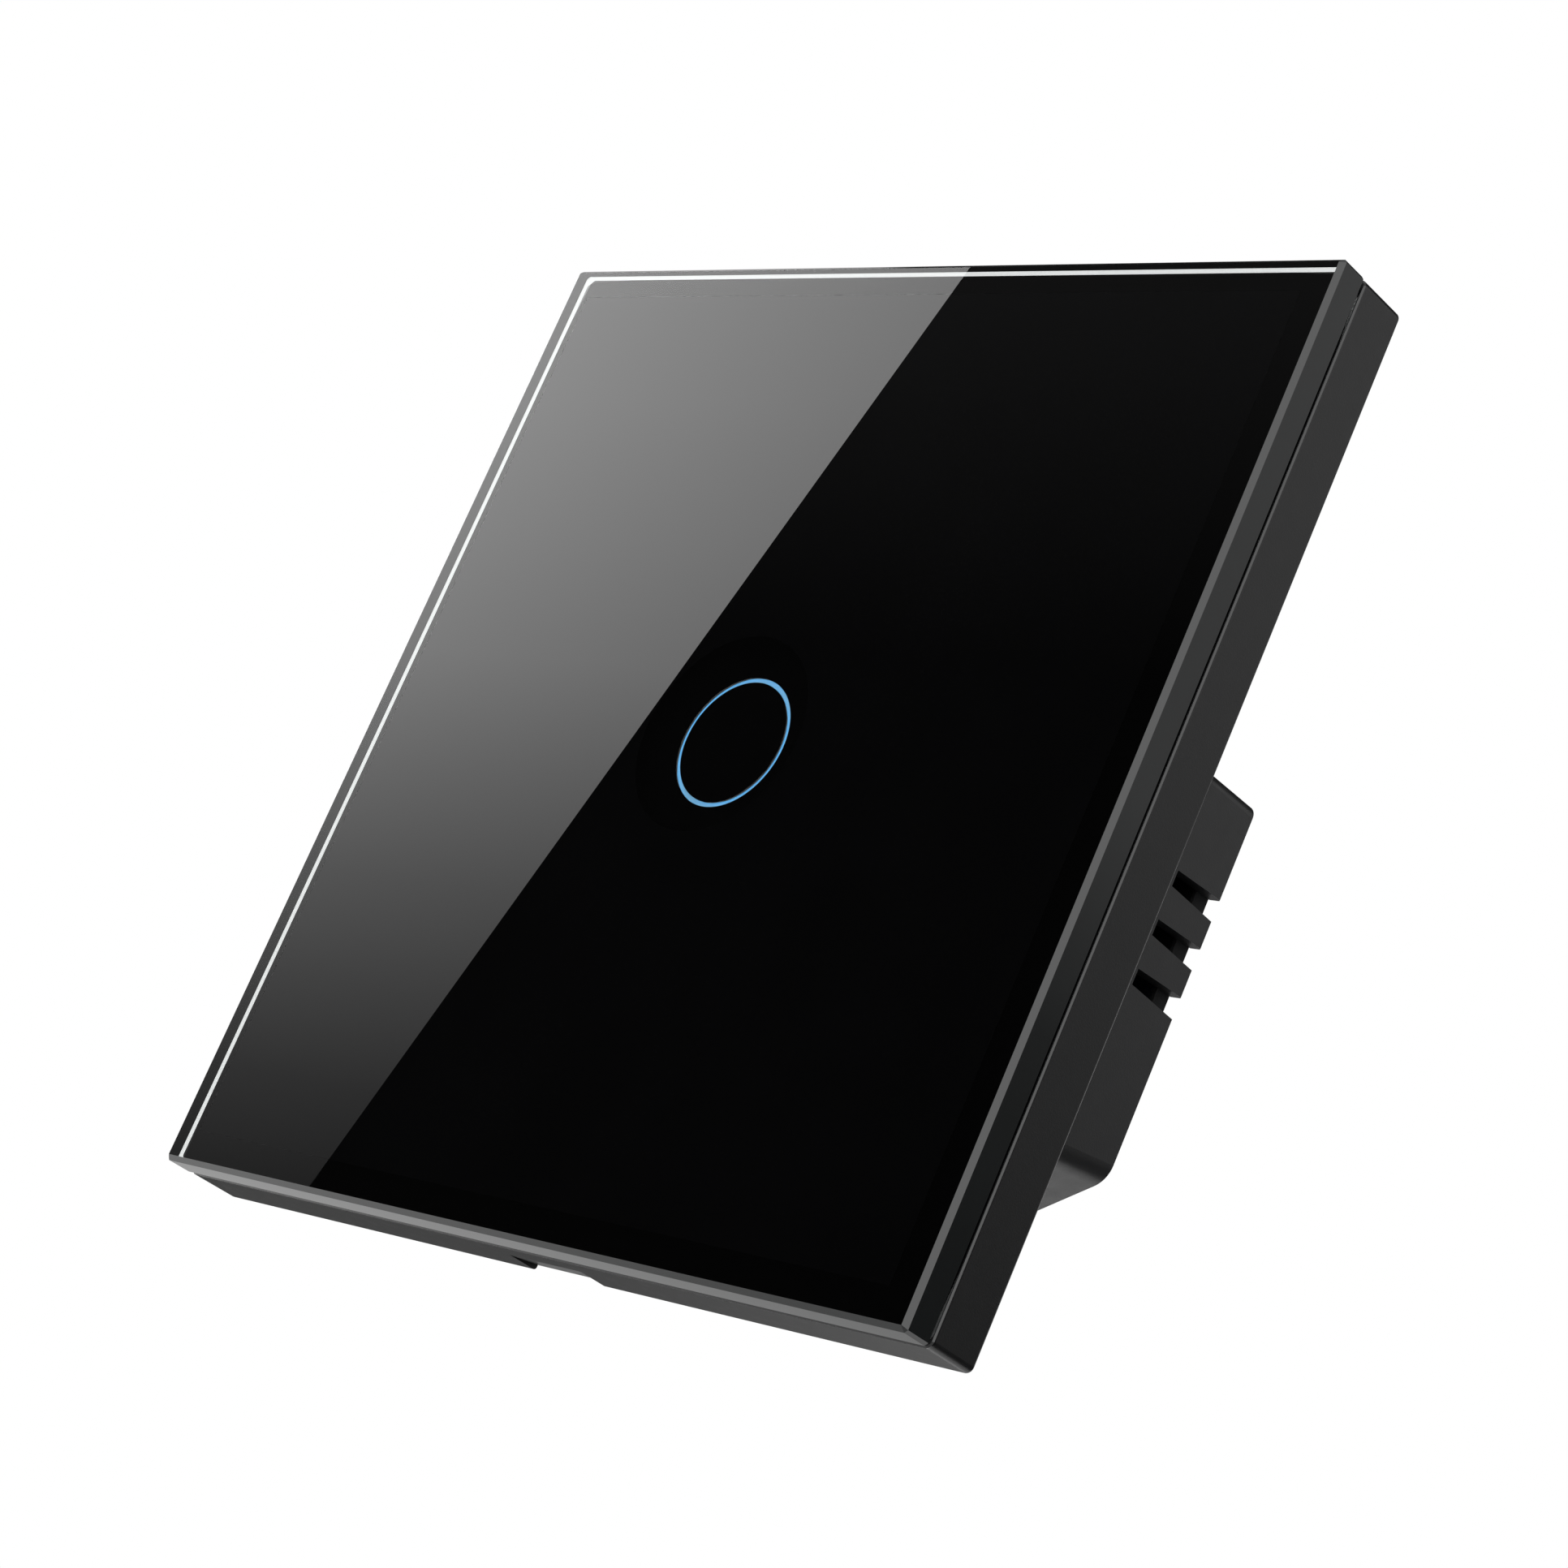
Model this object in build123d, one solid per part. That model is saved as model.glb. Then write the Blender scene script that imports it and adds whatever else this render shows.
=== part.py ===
from build123d import *
import os
from math import cos, radians, sin, tan

# A touch light switch with an 86 mm square glass panel, as it hangs on a wall.
# X is to the right, Y into the wall, Z up. The origin is the panel's centre on the wall's surface.
# The glass and its frame stand in front of the wall, at negative Y, and the housing lies in the wall box.

# Glass panel
panel_side = 86.0
glass_thick = 3.0
glass_front_chamfer = 0.4
glass_back_chamfer = 0.3
glass_corner_facet = 0.6

# Black print on the glass's back, with a ring left clear for the light
print_thick = 0.1
print_margin = 0.5
ring_diameter = 11.4
ring_line = 0.4

# Frame behind the glass
frame_depth = 5.0
frame_wall = 2.0
frame_corner_radius = 0.6
frame_back_radius = 0.3
frame_seam_chamfer = 0.12
tape_thick = 0.3
tape_gap = 0.4
ledge_width = 6.0
ledge_thick = 1.4
gusset_leg = 9.0
seat_rib_length = 6.0
seat_rib_thick = 1.2
seat_rib_offset = 20.0
seat_rib_inset = 3.2
peg_width = 4.0
peg_height = 3.2
peg_inset = 9.0
peg_wall_gap = 0.3
peg_slit = 0.7
peg_slit_depth = 2.1
peg_tip_chamfer = 0.4
peg_fit = 0.06

# Notch in the bottom edge of the frame, for prising the panel off
notch_centre = 0.4
notch_width = 8.3
notch_length = 3.0
notch_deep = 0.45

# Mounting plate on the wall, inside the frame
flange_gap = 1.5
flange_thick = 2.0
flange_corner_radius = 4.0
flange_rim_width = 1.5
flange_rim_height = 0.7
collar_wall = 1.4
collar_height = 0.8
screw_spacing = 60.3
screw_slot_width = 4.2
screw_slot_length = 7.0
back_groove_width = 0.4
back_groove_deep = 0.2

# Housing in the wall box. The two lower corners are cut off, and the cuts lean in towards the back
housing_half_width = 25.0
housing_depth = 25.2
housing_top = 12.9
housing_bottom = -26.0
housing_wall = 1.35
corner_cut_height = -19.65
corner_cut_angle = 31.7
corner_taper_angle = 8.2
housing_low_radius = 2.2
housing_top_radius = 1.0
housing_back_edge = 0.3
front_wall_thick = 0.9
stud_inset = 1.1
stud_width = 1.2
stud_height = 4.0
stud_low_z = -8.0
stud_high_z = -1.0
stud_gap = 0.05
stud_short = 0.3

# Three vent slots in each side wall, open at the back edge like a comb
vent_count = 3
vent_pitch = 4.28
vent_centre = -0.6
vent_length = 6.0
vent_front_height = 1.38
vent_back_height = 1.95

# Back cover, let into the housing
cover_thick = 1.6
cover_gap = 0.1
cover_rib_height = 1.2
cover_rib_thick = 1.0
driver_hole_radius = 2.25
boss_radius = 2.6
boss_bite = 0.2
boss_inset = 9.5
tongue_inset = 7.0
tongue_width = 5.0
tongue_thick = 1.0
tongue_reach = 0.9
tongue_gap = 0.1
cover_screw_radius = 1.3
cover_screw_length = 8.0
cover_screw_head_radius = 2.3
cover_screw_head_height = 1.2
cover_screw_fit = 0.03
cover_screw_play = 0.15
cross_slot_width = 0.5
cross_slot_deep = 0.6

# Power board and its posts
post_side = 3.6
post_height = 3.0
board_thick = 1.6
board_gap = 0.4
post_inset = 4.0
post_low_z = -13.0
post_high_z = 0.0

# Terminal block
pole_count = 3
block_share = 290/473
pocket_between = 2.5
pocket_end_wall = 1.5
pocket_inner_wall = 1.4
pocket_outer_wall = 1.3
pocket_length = 7.0
block_top_gap = 0.1
block_back_gap = 0.3
block_edge_radius = 0.5
head_seat_thick = 1.4
head_bore_depth = 2.3
wire_play = 0.1

# Rising clamps, their screws and the strips that they press the wire on
clamp_play = 0.2
clamp_side = 0.9
clamp_top = 2.0
clamp_bottom = 1.4
clamp_length = 5.6
clamp_board_gap = 1.7
clamp_edge = 0.4
travel_share = 5/11
strip_play = 0.1
strip_side_gap = 0.3
strip_thick = 1.0
strip_leg_thick = 0.8
strip_leg_width = 1.4
strip_tail = 0.8
screw_radius = 1.5
screw_fit = 0.06
screw_head_radius = 2.4
screw_head_height = 1.7
screw_head_play = 0.1
screw_slot_cut = 0.7
screw_slot_deep = 0.8

# Relay
relay_wall_gap = 3.15
relay_cover_gap = 2.8
relay_z = -7.5
relay_share = 380/473
relay_depth = 15.2
relay_case_wall = 0.8
relay_case_radius = 0.8
relay_case_gap = 0.05
relay_base_thick = 1.4
yoke_thick = 1.2
yoke_end_gap = 1.5
yoke_width = 8.6
yoke_room = 5.7
core_share = 0.1
pole_rim = 1.1
pole_thick = 0.6
pole_gap = 0.1
bobbin_gap = 0.1
bobbin_wall = 0.7
bobbin_flange = 0.8
bobbin_share = 23/95
bobbin_yoke_gap = 0.6
coil_inset = 0.3
armature_thick = 1.0
armature_width = 8.0
armature_contact_gap = 1.5
armature_gap = 0.15
armature_open_angle = 2.4
blade_thick = 0.25
blade_width = 3.6
blade_end_gap = 1.3
blade_leg = 5.5
blade_leg_gap = 0.32
contact_end_gap = 1.6
contact_radius = 1.2
contact_thick = 0.5
contact_gap = 0.08
carrier_thick = 0.5
carrier_width = 3.2
carrier_reach = 1.4
relay_pin_width = 1.0
relay_pin_thick = 0.5
relay_pin_inset = 3.5
pin_hole_gap = 0.1

# Transformer
transformer_wall_gap = 2.15
transformer_can_gap = 1.7
transformer_z = -7.5
core_height = 12.0
core_depth = 5.6
core_yoke = 2.1
core_leg_share = 4/13
core_side_share = 8/65
former_gap = 0.1
former_wall = 0.6
former_flange = 0.7
former_overhang = 2.8
winding_share = 0.82
winding_radius = 1.0

# Other parts on the power board
can_relay_gap = 1.3
can_z = -7.5
can_radius = 3.5
can_height = 12.0
can_edge = 0.5
film_x = -2.0
film_z = -18.6
film_width = 13.0
film_depth = 4.6
film_height = 10.0
film_edge = 0.5
disc_inset = 5.8
disc_z = 0.6
disc_radius = 3.4
disc_thick = 2.6
disc_lift = 1.2
lead_side = 0.6
lead_spread = 2.5
fuse_inset = 4.8
fuse_relay_gap = 0.3
fuse_radius = 2.2
fuse_height = 8.4
fuse_edge = 0.4
chip_length = 4.9
chip_width = 3.9
chip_height = 1.4
chip_leg_count = 4
chip_leg_pitch = 1.27
chip_leg_width = 0.42
chip_leg_reach = 1.0
chip_leg_thick = 0.2
power_chip_x = -8.0
power_chip_z = -14.0
bridge_inset = 10.0
bridge_z = 5.0

# Touch board in front of the housing
touch_board_thick = 1.2
touch_board_inset = 3.0
touch_board_low = -20.0
touch_board_high = 12.0
touch_board_radius = 2.0
touch_board_gap = 0.3
hook_width = 4.0
hook_reach = 0.8
hook_foot = 1.0
hook_height = 0.7
hook_gap = 0.05
hook_low_z = -14.0
hook_high_z = 6.0
touch_chip_x = 0.0
touch_chip_z = -14.5

# Light ring, its shield and the touch spring in the middle
front_gap = 0.06
guide_outer_radius = 6.5
guide_inner_radius = 4.7
guide_crest_height = 0.9
guide_foot_height = 1.0
guide_foot_thick = 1.4
guide_foot_width = 2.4
led_count = 4
led_length = 1.6
led_width = 0.9
led_height = 0.7
shield_wall = 1.5
shield_header_gap = 0.78
shield_height = 2.9
spring_radius = 2.9
spring_wire = 0.45
spring_turns = 2
spring_pad_side = 6.4
spring_pad_thick = 0.25
spring_foot_thick = 0.2
chip_cap_length = 1.6
chip_cap_width = 0.8
chip_cap_height = 0.8
chip_cap_count = 3
chip_cap_pitch = 2.4
chip_cap_gap = 1.2

# Pins between the two boards
header_pin_count = 5
header_pitch = 2.54
header_top_gap = 0.85
header_pin_side = 0.64
header_body_width = 2.4
header_body_height = 1.0
socket_gap = 0.2
socket_hole_gap = 0.03
header_solder = 0.4
header_reach = 2.5
window_gap = 0.4

# One overrun serves every cut
cut = 1.0

# Planes along Y, from the front to the back
glass_back = -frame_depth
glass_front = glass_back - glass_thick
print_back = glass_back + print_thick
ledge_front = print_back + tape_thick
ledge_back = ledge_front + ledge_thick
flange_front = -flange_thick
touch_board_back = flange_front + touch_board_thick + touch_board_gap
touch_board_front = touch_board_back - touch_board_thick
front_wall_back = front_wall_thick
board_front = front_wall_back + post_height
board_back = board_front + board_thick
cover_front = housing_depth - cover_thick
block_back = cover_front - block_back_gap
head_seat = block_back - head_bore_depth
pocket_back = head_seat - head_seat_thick

# Half sizes and edges that several pieces share
panel_half = panel_side/2
ledge_inner = panel_half - frame_wall - ledge_width
flange_half = panel_half - frame_wall - flange_gap
cavity_half = housing_half_width - housing_wall
cavity_top = housing_top - housing_wall
cut_slope = tan(radians(corner_cut_angle))
cut_cosine = cos(radians(corner_cut_angle))
block_high = cavity_top - block_top_gap
pocket_high = block_high - pocket_outer_wall
pocket_low = pocket_high - pocket_length
block_low = pocket_low - pocket_inner_wall
block_half = cavity_half*block_share
pole_pitch = 2*(block_half - pocket_end_wall + pocket_between/2)/pole_count
pole_places = [(n - (pole_count - 1)/2)*pole_pitch for n in range(pole_count)]
pocket_width = pole_pitch - pocket_between
strip_width = pocket_width - 2*(clamp_play + clamp_side + strip_side_gap)

# What the clamp's own metal leaves of the pocket's depth goes to its travel and to the wire
clamp_stack = clamp_play + clamp_top + strip_play + strip_thick + clamp_bottom + clamp_board_gap
clamp_room = pocket_back - board_back - clamp_stack
clamp_travel = clamp_room*travel_share
wire_space = clamp_room - clamp_travel
wire_radius = wire_space/2 - wire_play

# Places that follow from the panel and from the housing's walls
peg_offset = panel_half - peg_inset
stud_x = housing_half_width - stud_inset
boss_x = housing_half_width - boss_inset
tongue_x = housing_half_width - tongue_inset
post_x = housing_half_width - post_inset
touch_board_half_width = housing_half_width - touch_board_inset
header_z = cavity_top - header_top_gap - header_body_width/2
shield_outer = 2*(header_z - header_pin_side/2 - shield_header_gap)
shield_inner = shield_outer - 2*shield_wall

# The row of tall parts, from the right wall to the left
relay_width = cavity_half*relay_share
relay_x = cavity_half - relay_wall_gap - relay_width/2
relay_height = cover_front - relay_cover_gap - board_back
yoke_height = relay_height - yoke_room
can_x = relay_x - relay_width/2 - can_relay_gap - can_radius
transformer_left = transformer_wall_gap - cavity_half
transformer_right = can_x - can_radius - transformer_can_gap
transformer_x = (transformer_left + transformer_right)/2
core_width = transformer_right - transformer_left
core_leg = core_width*core_leg_share
core_side = core_width*core_side_share
disc_x = disc_inset - housing_half_width
fuse_x = housing_half_width - fuse_inset
fuse_z = relay_z + relay_depth/2 + fuse_relay_gap + fuse_radius
bridge_x = bridge_inset - housing_half_width

# Inside the relay, from its left end to its right end
yoke_back = yoke_end_gap - relay_width/2
core_radius = relay_width*core_share
pole_radius = core_radius + pole_rim
bobbin_half = relay_width*bobbin_share
coil_radius = bobbin_half - coil_inset
core_x = yoke_back + yoke_thick + bobbin_yoke_gap + bobbin_half
blade_end = relay_width/2 - blade_end_gap
contact_x = blade_end - contact_end_gap
armature_end = contact_x - contact_radius - armature_contact_gap
relay_pin_spread = relay_width/2 - relay_pin_inset


def block(x0, x1, y0, y1, z0, z1):
    """A box between two corners."""
    return Pos((x0 + x1)/2, (y0 + y1)/2, (z0 + z1)/2)*Box(x1 - x0, y1 - y0, z1 - z0)


def rod(x, z, radius, y0, y1):
    """A cylinder along Y."""
    return Pos(x, (y0 + y1)/2, z)*Rot(90, 0, 0)*Cylinder(radius, y1 - y0)


def bar(x, z, width, height, y0, y1):
    """A square bar along Y."""
    return Pos(x, (y0 + y1)/2, z)*Box(width, y1 - y0, height)


def pipe(x, z, outer, inner, y0, y1):
    """A tube along Y."""
    return rod(x, z, outer, y0, y1) - rod(x, z, inner, y0 - cut, y1 + cut)


def plate(half_x, z0, z1, radius, y0, y1):
    """A flat plate with four rounded corners."""
    body = block(-half_x, half_x, y0, y1, z0, z1)
    return fillet(body.edges().filter_by(Axis.Y), radius)


def each_corner(x, z):
    """The four mirrored places of a point."""
    return [(side*x, level*z) for side in (-1, 1) for level in (-1, 1)]


# Glass panel with a bright front chamfer and small facets on its standing corners
def make_glass_panel():
    glass = block(-panel_half, panel_half, glass_front, glass_back, -panel_half, panel_half)
    glass = chamfer(glass.edges().filter_by(Axis.Y), glass_corner_facet)
    front = glass.faces().sort_by(Axis.Y)[0]
    glass = chamfer(front.edges(), glass_front_chamfer)
    back = glass.faces().sort_by(Axis.Y)[-1]
    return chamfer(back.edges(), glass_back_chamfer)


# Print: a sheet round the clear ring and a disc inside it
def make_back_print():
    half = panel_half - print_margin
    ring_outer = ring_diameter/2
    sheet = block(-half, half, glass_back, print_back, -half, half)
    sheet = chamfer(sheet.edges().filter_by(Axis.Y), glass_corner_facet)
    sheet = sheet - rod(0, 0, ring_outer, glass_back - cut, print_back + cut)
    disc = rod(0, 0, ring_outer - ring_line, glass_back, print_back)
    return Compound([sheet.solid(), disc.solid()])


# Tape that holds the glass on the frame's ledge
def make_bonding_tape():
    outer = panel_half - frame_wall - tape_gap
    inner = ledge_inner + tape_gap
    tape = block(-outer, outer, print_back, ledge_front, -outer, outer)
    return tape - block(-inner, inner, print_back - cut, ledge_front + cut, -inner, inner)


def split_peg(x, z):
    """A push-in peg, split so that its two halves spring."""
    tip = -peg_wall_gap
    peg = bar(x, z, peg_width, peg_height, ledge_back, tip)
    peg = chamfer(peg.faces().sort_by(Axis.Y)[-1].edges(), peg_tip_chamfer)
    return peg - bar(x, z, peg_width + cut, peg_slit, tip - peg_slit_depth, tip + cut)


def seat_ribs():
    """Ribs on the back of the ledge that stand on the flange."""
    near = panel_half - frame_wall - seat_rib_inset - seat_rib_thick
    far = near + seat_rib_thick
    ribs = []
    for side in (-1, 1):
        for level in (-1, 1):
            along = sorted((level*seat_rib_offset, level*(seat_rib_offset + seat_rib_length)))
            across = sorted((side*near, side*far))
            ribs.append(block(*across, ledge_back, flange_front, *along))
            ribs.append(block(*along, ledge_back, flange_front, *across))
    return ribs


# Frame: outer wall, glass ledge with corner gussets, ribs, pegs and the prising notch
def make_front_frame():
    inner = panel_half - frame_wall
    frame = block(-panel_half, panel_half, print_back, 0, -panel_half, panel_half)
    frame = fillet(frame.edges().filter_by(Axis.Y), frame_corner_radius)
    back = frame.faces().sort_by(Axis.Y)[-1]
    frame = fillet(back.edges(), frame_back_radius)
    front = frame.faces().sort_by(Axis.Y)[0]
    frame = chamfer(front.edges(), frame_seam_chamfer)
    frame = frame - block(-inner, inner, ledge_back, cut, -inner, inner)
    frame = frame - block(-inner, inner, print_back - cut, ledge_front, -inner, inner)
    window = block(-ledge_inner, ledge_inner, ledge_front - cut, ledge_back + cut, -ledge_inner, ledge_inner)
    frame = frame - chamfer(window.edges().filter_by(Axis.Y), gusset_leg)
    for rib in seat_ribs():
        frame = frame + rib
    for x, z in each_corner(peg_offset, peg_offset):
        frame = frame + split_peg(x, z)
    low = -panel_half
    ramp = Polyline((0, -notch_length, low), (0, cut, low - cut), (0, 0, low + notch_deep), close=True)
    face = Pos(notch_centre - notch_width/2, 0, 0)*make_face(ramp)
    return frame - extrude(face, amount=notch_width, dir=(1, 0, 0))


def corner_wedge(side, y0, y1, inset):
    """What the cut takes off one lower corner: a triangle that leans in towards the back."""
    lean = radians(corner_taper_angle)
    half = housing_half_width - inset
    turn = corner_cut_height - (housing_depth - y0)*tan(lean) + inset/cut_cosine - inset*cut_slope
    fall = housing_half_width*cut_slope
    outer = side*(half + housing_half_width)
    inner = side*(half - housing_half_width)
    points = [(outer, y0, turn + fall), (outer, y0, turn - fall), (inner, y0, turn - fall)]
    triangle = make_face(Polyline(*points, close=True))
    return extrude(triangle, amount=(y1 - y0)/cos(lean), dir=(0, cos(lean), sin(lean)))


def housing_prism(y0, y1, inset):
    """The housing's solid shape between two depths, drawn in by an inset."""
    half = housing_half_width - inset
    body = block(-half, half, y0, y1, housing_bottom + inset, housing_top - inset)
    for side in (-1, 1):
        body = body - corner_wedge(side, y0, y1, inset)
    return body


def rounded_housing():
    """The outside of the housing, with its corners and its back edge rounded."""
    body = housing_prism(0, housing_depth, 0)
    long_edges = [e for e in body.edges() if abs((e @ 1).Y - (e @ 0).Y) > housing_depth/2]
    lower = [e for e in long_edges if (e @ 1).Z < 0]
    body = fillet(lower, housing_low_radius)
    upper = [e for e in body.edges() if abs((e @ 1).Y - (e @ 0).Y) > housing_depth/2 and (e @ 1).Z > 0]
    body = fillet(upper, housing_top_radius)
    back = body.faces().sort_by(Axis.Y)[-1]
    return chamfer(back.edges(), housing_back_edge)


def vent_cuts():
    """Tapered vent slots through both side walls, open at the back edge."""
    front = housing_depth - vent_length
    cuts = []
    back = housing_depth + cut
    narrow = vent_front_height/2
    wide = vent_back_height/2 + (vent_back_height/2 - narrow)/vent_length*cut
    for n in range(vent_count):
        z = vent_centre + (n - (vent_count - 1)/2)*vent_pitch
        points = [(front, z - narrow), (back, z - wide), (back, z + wide), (front, z + narrow)]
        for side in (-1, 1):
            start = side*(cavity_half - cut) - (housing_wall/2 + cut)*(1 - side)
            face = make_face(Polyline(*[(start, y, w) for y, w in points], close=True))
            cuts.append(extrude(face, amount=housing_wall + 2*cut, dir=(1, 0, 0)))
    return cuts


def boss_places():
    """Centres of the two bosses that take the cover's screws, beside the cut corners."""
    wall_line = corner_cut_height - (housing_half_width - boss_x)*cut_slope + housing_wall/cut_cosine
    z = wall_line + (boss_radius - boss_bite)/cut_cosine
    return [(-boss_x, z), (boss_x, z)]


def cover_tongues(gap):
    """Two tongues that hold the cover under the housing's top wall, grown by a gap for their slots."""
    tongues = []
    for side in (-1, 1):
        half = tongue_width/2 + gap
        tongues.append(block(side*tongue_x - half, side*tongue_x + half,
                             cover_front - gap, cover_front + tongue_thick + gap,
                             cavity_top - cover_gap - cut, cavity_top + tongue_reach + gap))
    return tongues


def post_places():
    """Centres of the posts under the power board."""
    return [(side*post_x, z) for side in (-1, 1) for z in (post_low_z, post_high_z)]


def header_half():
    """Half the length of the strip of pins."""
    return header_pin_count*header_pitch/2


def touch_pocket():
    """The recess that the touch board lies in."""
    half = touch_board_half_width + touch_board_gap
    low = touch_board_low - touch_board_gap
    high = touch_board_high + touch_board_gap
    return plate(half, low, high, touch_board_radius, flange_front - cut, touch_board_back)


def screw_slot(x):
    """A slot for a wall screw."""
    half = (screw_slot_length - screw_slot_width)/2
    hole = screw_slot_width/2
    slot = rod(x - half, 0, hole, flange_front - cut, cut) + rod(x + half, 0, hole, flange_front - cut, cut)
    return slot + block(x - half, x + half, flange_front - cut, cut, -hole, hole)


def touch_board_hooks():
    """Hooks at both sides of the recess that catch the touch board's edges."""
    hooks = []
    inner = touch_board_half_width - hook_reach
    outer = touch_board_half_width + touch_board_gap + hook_foot
    for side in (-1, 1):
        for z in (hook_low_z, hook_high_z):
            hooks.append(block(*sorted((side*inner, side*outer)),
                               flange_front - hook_height, touch_board_front - hook_gap,
                               z - hook_width/2, z + hook_width/2))
    return hooks


def header_window(y0, y1):
    """The window that the pins between the boards pass through."""
    width = header_half() + window_gap
    height = header_body_width/2 + window_gap
    return block(-width, width, y0, y1, header_z - height, header_z + height)


def joining_studs(gap, front):
    """Studs on the housing that sit in the mounting plate, grown by a gap for their holes."""
    studs = []
    for side in (-1, 1):
        for z in (stud_low_z, stud_high_z):
            studs.append(bar(side*stud_x, z, stud_width + 2*gap, stud_height + 2*gap,
                             front, front_wall_thick/2))
    return studs


def back_groove():
    """A shallow groove in the plate's back, round the foot of the housing."""
    outside = housing_prism(-back_groove_deep, cut, -back_groove_width)
    return outside - housing_prism(-cut, 2*cut, 0)


# Mounting plate: the flange on the wall, with a rim, collars for the pegs and a recess for the touch board
def make_mounting_plate():
    body = plate(flange_half, -flange_half, flange_half, flange_corner_radius, flange_front, 0)
    rim_front = flange_front - flange_rim_height
    rim = plate(flange_half, -flange_half, flange_half, flange_corner_radius, rim_front, flange_front)
    inside = flange_half - flange_rim_width
    inner_radius = flange_corner_radius - flange_rim_width
    body = body + (rim - plate(inside, -inside, inside, inner_radius, rim_front - cut, flange_front + cut))
    for x, z in each_corner(peg_offset, peg_offset):
        body = body + bar(x, z, peg_width + 2*collar_wall, peg_height + 2*collar_wall,
                          flange_front - collar_height, flange_front)
    for x, z in each_corner(peg_offset, peg_offset):
        body = body - bar(x, z, peg_width + 2*peg_fit, peg_height + 2*peg_fit,
                          flange_front - collar_height - cut, cut)
    body = body - touch_pocket()
    for hook in touch_board_hooks():
        body = body + hook
    for side in (-1, 1):
        body = body - screw_slot(side*screw_spacing/2)
    for hole in joining_studs(stud_gap, flange_front - cut):
        body = body - hole
    body = body - back_groove()
    return body - header_window(touch_board_back - cut, cut)


# Housing in the wall box, open at the back
def make_base_housing():
    base = rounded_housing() - housing_prism(front_wall_back, housing_depth + cut, housing_wall)
    for x, z in boss_places():
        base = base + rod(x, z, boss_radius, front_wall_back, cover_front)
    for x, z in post_places():
        base = base + bar(x, z, post_side, post_side, front_wall_back, board_front)
    for stud in joining_studs(0, flange_front + stud_short):
        base = base + stud
    pilot_end = cover_front - cover_screw_length - cut
    for x, z in boss_places():
        base = base - rod(x, z, cover_screw_radius + cover_screw_fit, pilot_end, cover_front + cut)
    base = base - header_window(-cut, front_wall_back + cut)
    for slot in vent_cuts() + cover_tongues(tongue_gap):
        base = base - slot
    for x in pole_places:
        base = base - wire_bore(x, cavity_top - cut, housing_top + cut)
    return base


def wire_level():
    """The depth at which the wires go in, in the middle of the open clamp's space."""
    return strip_front() - wire_space/2


def strip_front():
    """The face of the strip that the wire is pressed on."""
    clamp_back = pocket_back - clamp_play
    return clamp_back - clamp_travel - clamp_top - strip_play - strip_thick


def wire_bore(x, z0, z1):
    """A round hole along Z for a wire."""
    return Pos(x, wire_level(), (z0 + z1)/2)*Cylinder(wire_radius, z1 - z0)


# Back cover with driver holes, countersinks for its screws and stiffening ribs inside
def make_rear_cover():
    cover = housing_prism(cover_front, housing_depth, housing_wall + cover_gap)
    for x in pole_places:
        cover = cover - rod(x, screw_level(), driver_hole_radius, cover_front - cut, housing_depth + cut)
    seat = housing_depth - cover_screw_head_height
    for x, z in boss_places():
        bore = cover_screw_radius + cover_screw_play
        cover = cover - rod(x, z, bore, cover_front - cut, housing_depth + cut)
        head = cover_screw_head_radius + cover_screw_play
        cover = cover - rod(x, z, head, seat, housing_depth + cut)
    for tongue in cover_tongues(0):
        cover = cover + tongue
    rib_half = boss_x - boss_radius - cover_rib_thick
    for z in (relay_z - relay_depth/2, relay_z + relay_depth/2):
        rib = block(-rib_half, rib_half, cover_front - cover_rib_height, cover_front,
                    z - cover_rib_thick/2, z + cover_rib_thick/2)
        cover = cover + rib
    return cover


def cross_head_screw(x, z, seat):
    """A screw of the back cover with a cross recess."""
    top = seat + cover_screw_head_height
    screw = rod(x, z, cover_screw_head_radius, seat, top)
    screw = chamfer(screw.edges().sort_by(Axis.Y)[-1], cover_screw_head_height/4)
    screw = screw + rod(x, z, cover_screw_radius, seat - cover_screw_length, seat)
    arm = cover_screw_head_radius*6/5
    screw = screw - bar(x, z, arm, cross_slot_width, top - cross_slot_deep, top + cut)
    return screw - bar(x, z, cross_slot_width, arm, top - cross_slot_deep, top + cut)


# Two self-tapping screws of the back cover
def make_cover_screws():
    seat = housing_depth - cover_screw_head_height
    return Compound([cross_head_screw(x, z, seat).solid() for x, z in boss_places()])


# Power board, pierced for the bosses, the strips' legs and the relay's pins
def make_power_board():
    board = housing_prism(board_front, board_back, housing_wall + board_gap)
    clear = boss_radius + board_gap
    for x, z in boss_places():
        board = board - rod(x, z, clear, board_front - cut, board_back + cut)
    for x in pole_places:
        low = pocket_low - board_gap/2
        high = pocket_low + strip_leg_thick + board_gap/2
        half = strip_leg_width/2 + board_gap/2
        board = board - block(x - half, x + half, board_front - cut, board_back + cut, low, high)
    for x, z in relay_pin_places():
        board = board - bar(x, z, relay_pin_width + 2*pin_hole_gap, relay_pin_thick + 2*pin_hole_gap,
                            board_front - cut, board_back + cut)
    return board


def screw_level():
    """The height of the terminal screws' axes."""
    return clamp_low() + clamp_length/2


def clamp_low():
    """The lower end of the clamps, clear of the strips' legs."""
    return pocket_low + strip_leg_thick + clamp_play + strip_play


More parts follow.
